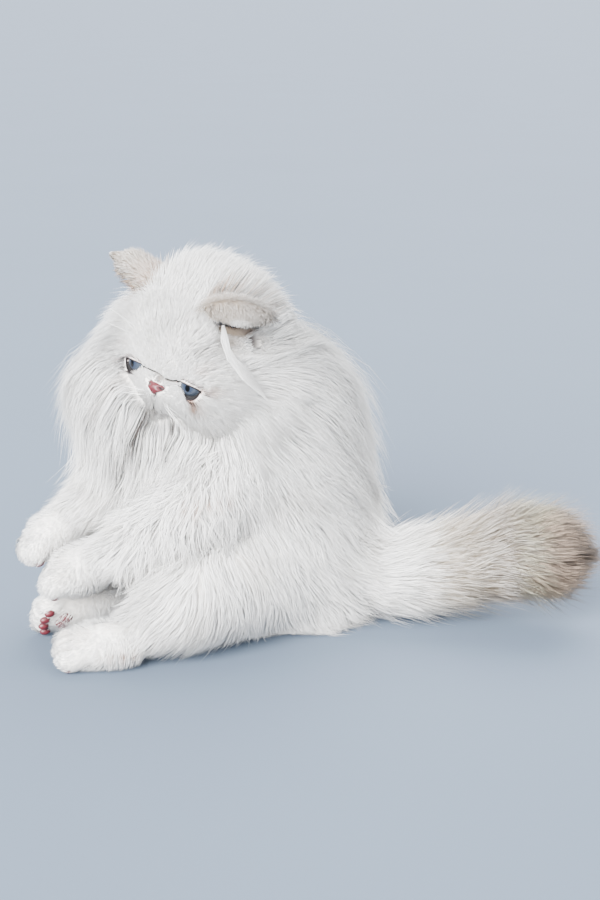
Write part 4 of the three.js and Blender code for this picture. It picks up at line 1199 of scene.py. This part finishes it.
# Where on the skin each hair may grow: the nearest form to each triangle
corners = skin_points[skin_faces]
doubled = np.cross(corners[:, 1] - corners[:, 0], corners[:, 2] - corners[:, 0])
triangle_area = np.linalg.norm(doubled, axis=1) / 2
triangle_middle = corners.mean(axis=1)
located = [form.locate(triangle_middle, SKIN_AT) for form in whole.values()]
nearest_form = np.argmin(np.stack([(found[0] - 1) * found[2] for found in located]), axis=0)
ear_reach = np.min([ear.locate(triangle_middle)[0] for ear in ears.values()], axis=0)
face_way = unit(to_head(triangle_middle))
from_face = np.arccos(np.clip(face_way[:, 0], -1, 1))
on_head_form = nearest_form == 0
in_eye = np.zeros(len(triangle_middle), bool)
for side in (-1, 1):
    middle, axes = eye_axes(side)
    own = (to_head(triangle_middle) - middle) @ axes.T
    gap = np.min([gap + edge for gap, edge in zip(lid_gaps(own), BARE_EDGE)], axis=0)
    in_eye |= (gap > 0) & (own[:, 0] > 0) & (own[:, 0] < 14)
own = (to_head(triangle_middle) - NOSE["at"]) / NOSE["half"]
on_leather = ((np.abs(own[:, 1]) < leather_width(own[:, 2])) & (np.abs(own[:, 2]) < 1)
              & (np.abs(own[:, 0]) < 2))
in_fold = (angle_to(face_way, INNER_EAR[0]) < 0.12) | (ear_reach < 1.08)
for fold, width in ((CREASE, 0.036), (PHILTRUM, 0.018), (LIPS[1], 0.015)):
    in_fold |= line_angle(face_way, fold) < width
bare = (in_fold & on_head_form) | in_eye | on_leather
bare |= (clefts(triangle_middle) > 0.4) | (triangle_middle[:, 2] < 1.2)
names = list(whole)


def roots_on(allowed, count, density=None):
    """Random places on the allowed triangles, spread evenly by area times density: places, normals
    and the number of each one's triangle."""
    weight = triangle_area * (allowed & ~bare) * (1 if density is None else density)
    total = np.cumsum(weight)
    pick = np.searchsorted(total, (np.arange(count) + chance.random(count)) / count * total[-1])
    pick = np.minimum(pick, len(total) - 1)
    a, b = np.sqrt(chance.random(count)), chance.random(count)
    share = np.column_stack([1 - a, a * (1 - b), a * b])[:, :, None]
    places = (skin_points[skin_faces[pick]] * share).sum(1)
    normals = unit((skin_normals[skin_faces[pick]] * share).sum(1))
    return places, normals, pick


def head_hair(d, away, long, lifts):
    """Length and lift of the head's hair, and its sag as a share of its length, from its way d and
    its angle away from the middle of the face. It is short along the crease and in front of the
    near ear, long and raised at the far cheek's edge, and sags at nape and throat."""
    far, under = -d[:, 1], -d[:, 2]
    outer = smooth(far, 0.3, 0.55) * smooth(away, 0.5, 0.8) * smooth(under, 0, 0.25)
    lifts = lifts + 0.6 * smooth(away, 0.6, 1.0) + 0.4 * outer
    long = long * (1 + 0.5 * outer)
    long = long * (0.35 + 0.65 * smooth(line_angle(d, [CREASE[3], [0.985, 0, -0.17]]), 0.07, 0.16))
    long = long * (0.15 + 0.85 * smooth(line_angle(d, INNER_EAR), 0.16, 0.36))
    long = long * (1 + smooth(under, 0.15, 0.5) * smooth(away, 0.6, 1.1))
    long = long * (1 + 0.45 * smooth(away, 1.5, 2.1))
    nape = (0.65 - 0.2 * smooth(far, 0.1, 0.5)) * smooth(away, 1.6, 2.3)
    throat = 0.45 * smooth(under, 0.2, 0.6) * smooth(away, 0.55, 1.0)
    longest = 58 - 20 * smooth(far, 0.1, 0.5)
    return np.minimum(long, longest), lifts, np.clip(nape + throat, 0, 0.7)


def hairs_on(name, members, near, allowed, count, steps, width, length, lock, wave, look, rise=(0.45, 0.98),
             lift=0.45, stray=0.1, density=None):
    """A piece of the coat: hairs on the allowed triangles of its member forms, combed over them and
    the forms near. length is a factor of the coat's depth there, with a few millimetres added;
    lock is the size and strength of its locks."""
    allowed = allowed & np.isin(nearest_form, [names.index(m) for m in members])
    roots, normals, pick = roots_on(allowed, max(int(count * SPARSE), 50), density)
    total = len(roots)
    loose = chance.random(total) < stray
    high = chance.uniform(*rise, total) * np.where(loose, chance.uniform(1.0, 1.2, total), 1)
    long = surroundings(roots, [*members, *near], SKIN_AT)[3] * length[0] + length[1]
    long = np.minimum(long, LONGEST) * chance.uniform(0.75, 1.15, total) * np.where(loose, 1.1, 1)
    lifts = np.where(loose, lift * 1.7, lift) * chance.uniform(0.7, 1.3, total)
    if members[0] == "head":
        long, lifts, sag = head_hair(unit(to_head(roots)), from_face[pick], long, lifts)
    path, outs = comb([*members, *near], roots, normals, long, high, steps, lifts)
    if members[0] == "head":
        path[:, :, 2] -= (sag * long)[:, None] * (np.arange(steps + 1) / steps) ** 2
    places = np.zeros((total, 2))
    for k, member in enumerate(members):
        mine = nearest_form[pick] == names.index(member)
        if mine.any():
            place = 0.02 + 0.96 * whole[member].locate(roots[mine])[3]
            places[mine] = np.column_stack([(k + place[:, 0]) / len(members), place[:, 1]])
    path[:, 0] -= normals * ROOT_DEPTH
    size, strength = lock
    strengths = np.where(loose, 0.1, chance.uniform(0.5, 1.1, total) * strength)
    path = locked(path, clumps(roots, size * 3), strengths * 0.4, 0.6 * wave, normals)
    path = locked(path, clumps(roots, size), strengths, wave, normals)
    path[:, 1:, 2] = np.maximum(path[:, 1:, 2], LOWEST["hair"])
    tone = chance.uniform(0.92, 1.03, total)[:, None] * (1 + chance.normal(0, 0.008, (total, 3)))
    halves = width / 2 * chance.uniform(0.7, 1.2, total) * np.where(loose, 0.6, 1)
    piece = hair_mesh(name, path, outs, halves, markings(roots) * tone, places)
    piece.data.materials.append(LOOKS[look])
    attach(piece, "root")
    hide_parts(*members)


every = np.ones(len(triangle_middle), bool)
on_face = from_face < 1.0
below = face_way[:, 2] < -0.05
near_side = triangle_middle[:, 1] < -5
hairs_on("coat_face", ["head"], [], on_face, 25000, 2, 0.32, (1.3, 3.0), (3.5, 0.42), 0.3, "coat_white",
         rise=(0.8, 1.5), lift=0.35, stray=0.06, density=1 + 0.8 * (from_face < 0.6))
hairs_on("coat_crown", ["head"], ["torso"], ~on_face & ~below, 11500, 3, 0.5, (1.3, 3.0), (5, 0.35),
         0.8, "coat_white", rise=(0.55, 1.08), lift=0.4, stray=0.2)
hairs_on("coat_cheeks", ["head"], ["torso"], ~on_face & below, 13000, 3, 0.46, (1.3, 3.0), (7, 0.45),
         1.6, "coat_white", lift=0.2, stray=0.14)
for side, part in (("left", near_side), ("right", ~near_side)):
    hairs_on(f"coat_ruff_{side}", ["neck"], ["head", "torso", *NEAR_FORELEGS], part, 9800, 3, 0.48, (1.35, 4),
             (8, 0.5), 2.6, "coat_white", lift=0.6, stray=0.14)
for side, part, count in (("left", near_side, 11300), ("right", ~near_side, 10200)):
    hairs_on(f"coat_trunk_{side}", ["torso"],
             ["neck", "head", *NEAR_FORELEGS, *NEAR_HINDLEGS, "tail_root"], part, count, 3, 0.5,
             (1.8, 6), (8, 0.5), 2.4, "coat_white", lift=0.5, stray=0.14)
hairs_on("coat_forelegs", [*NEAR_FORELEGS], ["torso", "neck", "forepaw_left", "forepaw_right"], every,
         7600, 3, 0.5, (1.8, 2), (5.5, 0.4), 1.0, "coat_white", lift=0.45, stray=0.1)
whole["feathers"] = forms["foreleg_left"]
LIES["feathers"] = lambda p: np.tile([0.3, -0.5, -2.0], (len(p), 1))
feathered = (triangle_middle[:, 1] < -45) & (triangle_middle[:, 0] > -104) & (triangle_middle[:, 0] < -40)
hairs_on("coat_feathers", ["foreleg_left"], ["feathers"], feathered, 1500, 3, 0.42, (1.5, 14), (7, 0.6), 3.5,
         "coat_white", rise=(0.9, 1.3), lift=0.8, stray=0.2)
hairs_on("coat_hindlegs", [*NEAR_HINDLEGS], ["torso", "hindpaw_left", "hindpaw_right"], every,
         9000, 3, 0.5, (1.9, 2), (5.5, 0.4), 1.0, "coat_white", lift=0.45, stray=0.1)
hairs_on("coat_paws", [*PAWS], [], every, 12000, 2, 0.4, (1.1, 1.2), (3.5, 0.4), 0.25, "coat_white",
         rise=(1.0, 1.6), lift=0.5, stray=0.05)
hairs_on("coat_tail", ["tail_root", "tail_middle"], ["torso", "tail_tip"], every, 9200, 3, 0.6, (1.6, 2),
         (7, 0.5), 1.8, "tail_coat", lift=0.85, stray=0.16)
hairs_on("coat_tail_tip", ["tail_tip"], ["tail_middle"], every, 7500, 3, 0.55, (1.25, 2), (6, 0.45), 1.2,
         "tail_tip_coat", lift=1.3, stray=0.16)

# The ears' own hair: short beige hair up their backs, a fringe of grey hair inside the cup, and at
# the near ear one long white tuft that hangs from the front of its base over the cheek.
def ear_hairs(name, count, steps, width, length, place, lie, lift, look, lock, wave, fall, tint):
    """Hairs on both ears. place gives the angle from the back, the share along and the wall for
    random numbers. lie gives a direction from an ear's axes, laid flat on the surface there and
    lifted off it by lift; fall bends hairs down with the square of f."""
    paths, outs, spots, colours = [], [], [], []
    for k, ear in enumerate(ears.values()):
        total = max(int(count * SPARSE), 20)
        phi, w, wall = place(ear.roll, chance.random(total), chance.random(total))
        roots = ear.leaf(phi, w, wall)
        middle, way, front, side, _ = ear.station((1 - np.cos(np.pi * w)) / 2)
        around = ear.leaf(phi + 1e-3, w, wall) - roots
        lengthwise = ear.leaf(phi, w - 1e-3, wall) - roots
        out = unit(np.cross(around, lengthwise))
        out = out * np.where(dot(out, roots - middle) > 0, 1, -1)[:, None] * (-1 if np.max(wall) > 0 else 1)
        ways = lie(way, front, side)
        ways = unit(ways - out * dot(ways, out)[:, None])
        raised = out * (lift * (1.6 - smooth(w, 0.4, 0.8)))[:, None]
        ways = unit(ways + raised + chance.normal(0, 0.12, (total, 3)))
        f = np.arange(steps + 1) / steps
        long = length * chance.uniform(0.7, 1.15, total) * (1.35 - 0.8 * smooth(w, 0.35, 0.85))
        path = roots[:, None] + ways[:, None] * (long[:, None] * f)[:, :, None]
        path[:, :, 2] -= fall * long[:, None] * f**2
        paths.append(path)
        outs.append(out)
        spots.append(np.column_stack([(k + 0.05 + 0.9 * (phi / np.pi + 1) / 2) / 2, 0.05 + 0.9 * w]))
        tone = markings(roots) if tint is None else np.tile(tint, (total, 1))
        edge = smooth(phi / ear.roll, 0.4, 0.7) * (k == 0)
        colours.append(tinted(tone, UMBER * 0.5, 0.9 * edge))
    path, out = np.concatenate(paths), np.concatenate(outs)
    path = locked(path, clumps(path[:, 0], lock[0]), np.full(len(path), lock[1]), wave, out)
    tone = chance.uniform(0.88, 1.04, len(path))[:, None]
    halves = width / 2 * chance.uniform(0.7, 1.2, len(path))
    outs = np.repeat(out[:, None], steps + 1, axis=1)
    piece = hair_mesh(name, path, outs, halves, np.concatenate(colours) * tone, np.concatenate(spots))
    piece.data.materials.append(LOOKS[look])
    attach(piece, "root")
    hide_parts("ear_left", "ear_right")


ear_hairs("coat_ears", 4000, 2, 0.34, 6.5,
          lambda roll, a, b: ((2 * a - 1) * roll, 0.12 + 0.86 * b, 0.0),
          lambda way, front, side: way + 0.5 * front, 0.4, "ear_coat", (2.5, 0.2), 0.3, 0.1, None)
ear_hairs("ear_fringe", 700, 3, 0.36, 9,
          lambda roll, a, b: ((2 * a - 1) * roll, 0.25 + 0.6 * b, EAR_WALL),
          lambda way, front, side: way + 0.3 * front, 0.5, "coat_white", (3, 0.4), 0.5, 0.3, GREY * 1.1)
# The tuft's path, as ways from the skull's middle
TUFT = [[22.7, 28.0, 34.7], [27.2, 32.8, 31.5], [30.7, 38.6, 26.6],
        [32.2, 45.3, 20.0], [29.8, 52.9, 12.4], [21.8, 60.1, 3.2]]
TUFT_HAIRS = 170
total = max(int(TUFT_HAIRS * SPARSE), 20)
t = np.linspace(0, 1, 9)
line = unit(curve(TUFT, t))
reach = skull_reach(line) + head_coat(line) * 1.1 + 1.5 + 5.5 * np.sin(np.pi * (0.1 + 0.7 * t))
line = on_head(line * reach[:, None])
turn, away = 2 * np.pi * chance.random(total), 1.9 * np.sqrt(chance.random(total))
spread = np.stack([away * np.cos(turn), 0.7 * away * np.sin(turn)], axis=1)
bulge = 0.45 + 0.95 * np.sin(np.pi * t**0.6)
wide = spread[:, None, :] * bulge[None, :, None] * (1 - t**1.5)[None, :, None]
line_way, line_out = unit(np.gradient(line, axis=0)), unit(line - HEAD_AT)
line_side = np.cross(line_way, line_out)
path = line + wide[..., :1] * line_side + wide[..., 1:] * line_out
path = path[:, 0, None] + (path - path[:, 0, None]) * chance.uniform(0.62, 1.03, total)[:, None, None]
tuft = hair_mesh("ear_tuft", path[:, ::2], np.tile(line_out[::2], (total, 1, 1)), np.full(total, 0.26),
                 WHITE * chance.uniform(0.78, 1.0, total)[:, None], head.locate(path[:, 0])[3] * 0.96 + 0.02)
tuft.data.materials.append(LOOKS["coat_white"])
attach(tuft, "root")
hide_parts("head")

# The whiskers: stiff white hairs in three rows on each whisker pad, and a few over each eye.
def whisker_finish():
    """White horn-like hair: warm white with faint bands by noise, smooth and slightly glossy."""
    look = Finish("whisker")
    bands = look.noise(Scale=120.0)
    return look.done(look.ramp(bands, (0.82, 0.80, 0.76), (0.97, 0.97, 0.96)), bands, 0.05, 0.0001,
                     Roughness=0.35)


hairs = []
brows = [[0.8, 0.4 * side + 0.05 * k * side, 0.42 - 0.05 * k] for side in (-1, 1) for k in range(3)]
for way, long in [(w, 44.0) for w in WHISKER_ROOTS] + [(w, 34.0) for w in brows]:
    d = unit(np.array(way, float))[None]
    root = (d * (skull_reach(d)[:, None]))[0]
    side = np.sign(root[1]) or 1
    f = np.linspace(0, 1, 14)[:, None]
    size = long * chance.uniform(0.65, 1.1) * (0.6 if side > 0 else 1)
    heading = unit(np.array([0.55, 0.95 * side, -0.12]) if long > 40 else np.array([0.7, 0.35 * side, 0.8]))
    heading = unit(heading + chance.normal(0, 0.22, 3))
    bend = np.array([-0.45, 0.05 * side, -0.4])
    path = root + heading * f * size + bend * (f * size) ** 2 / 75
    halves = 0.09 * (1 - f[:, 0]) ** 0.7 + 0.012
    hairs.append(tube(on_head(path), np.tile(HEAD_AXES[2], (14, 1)), halves, sides=5))
whiskers = mesh_piece("whiskers", *gathered(hairs))
whiskers.data.materials.append(whisker_finish())
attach(whiskers, "root")
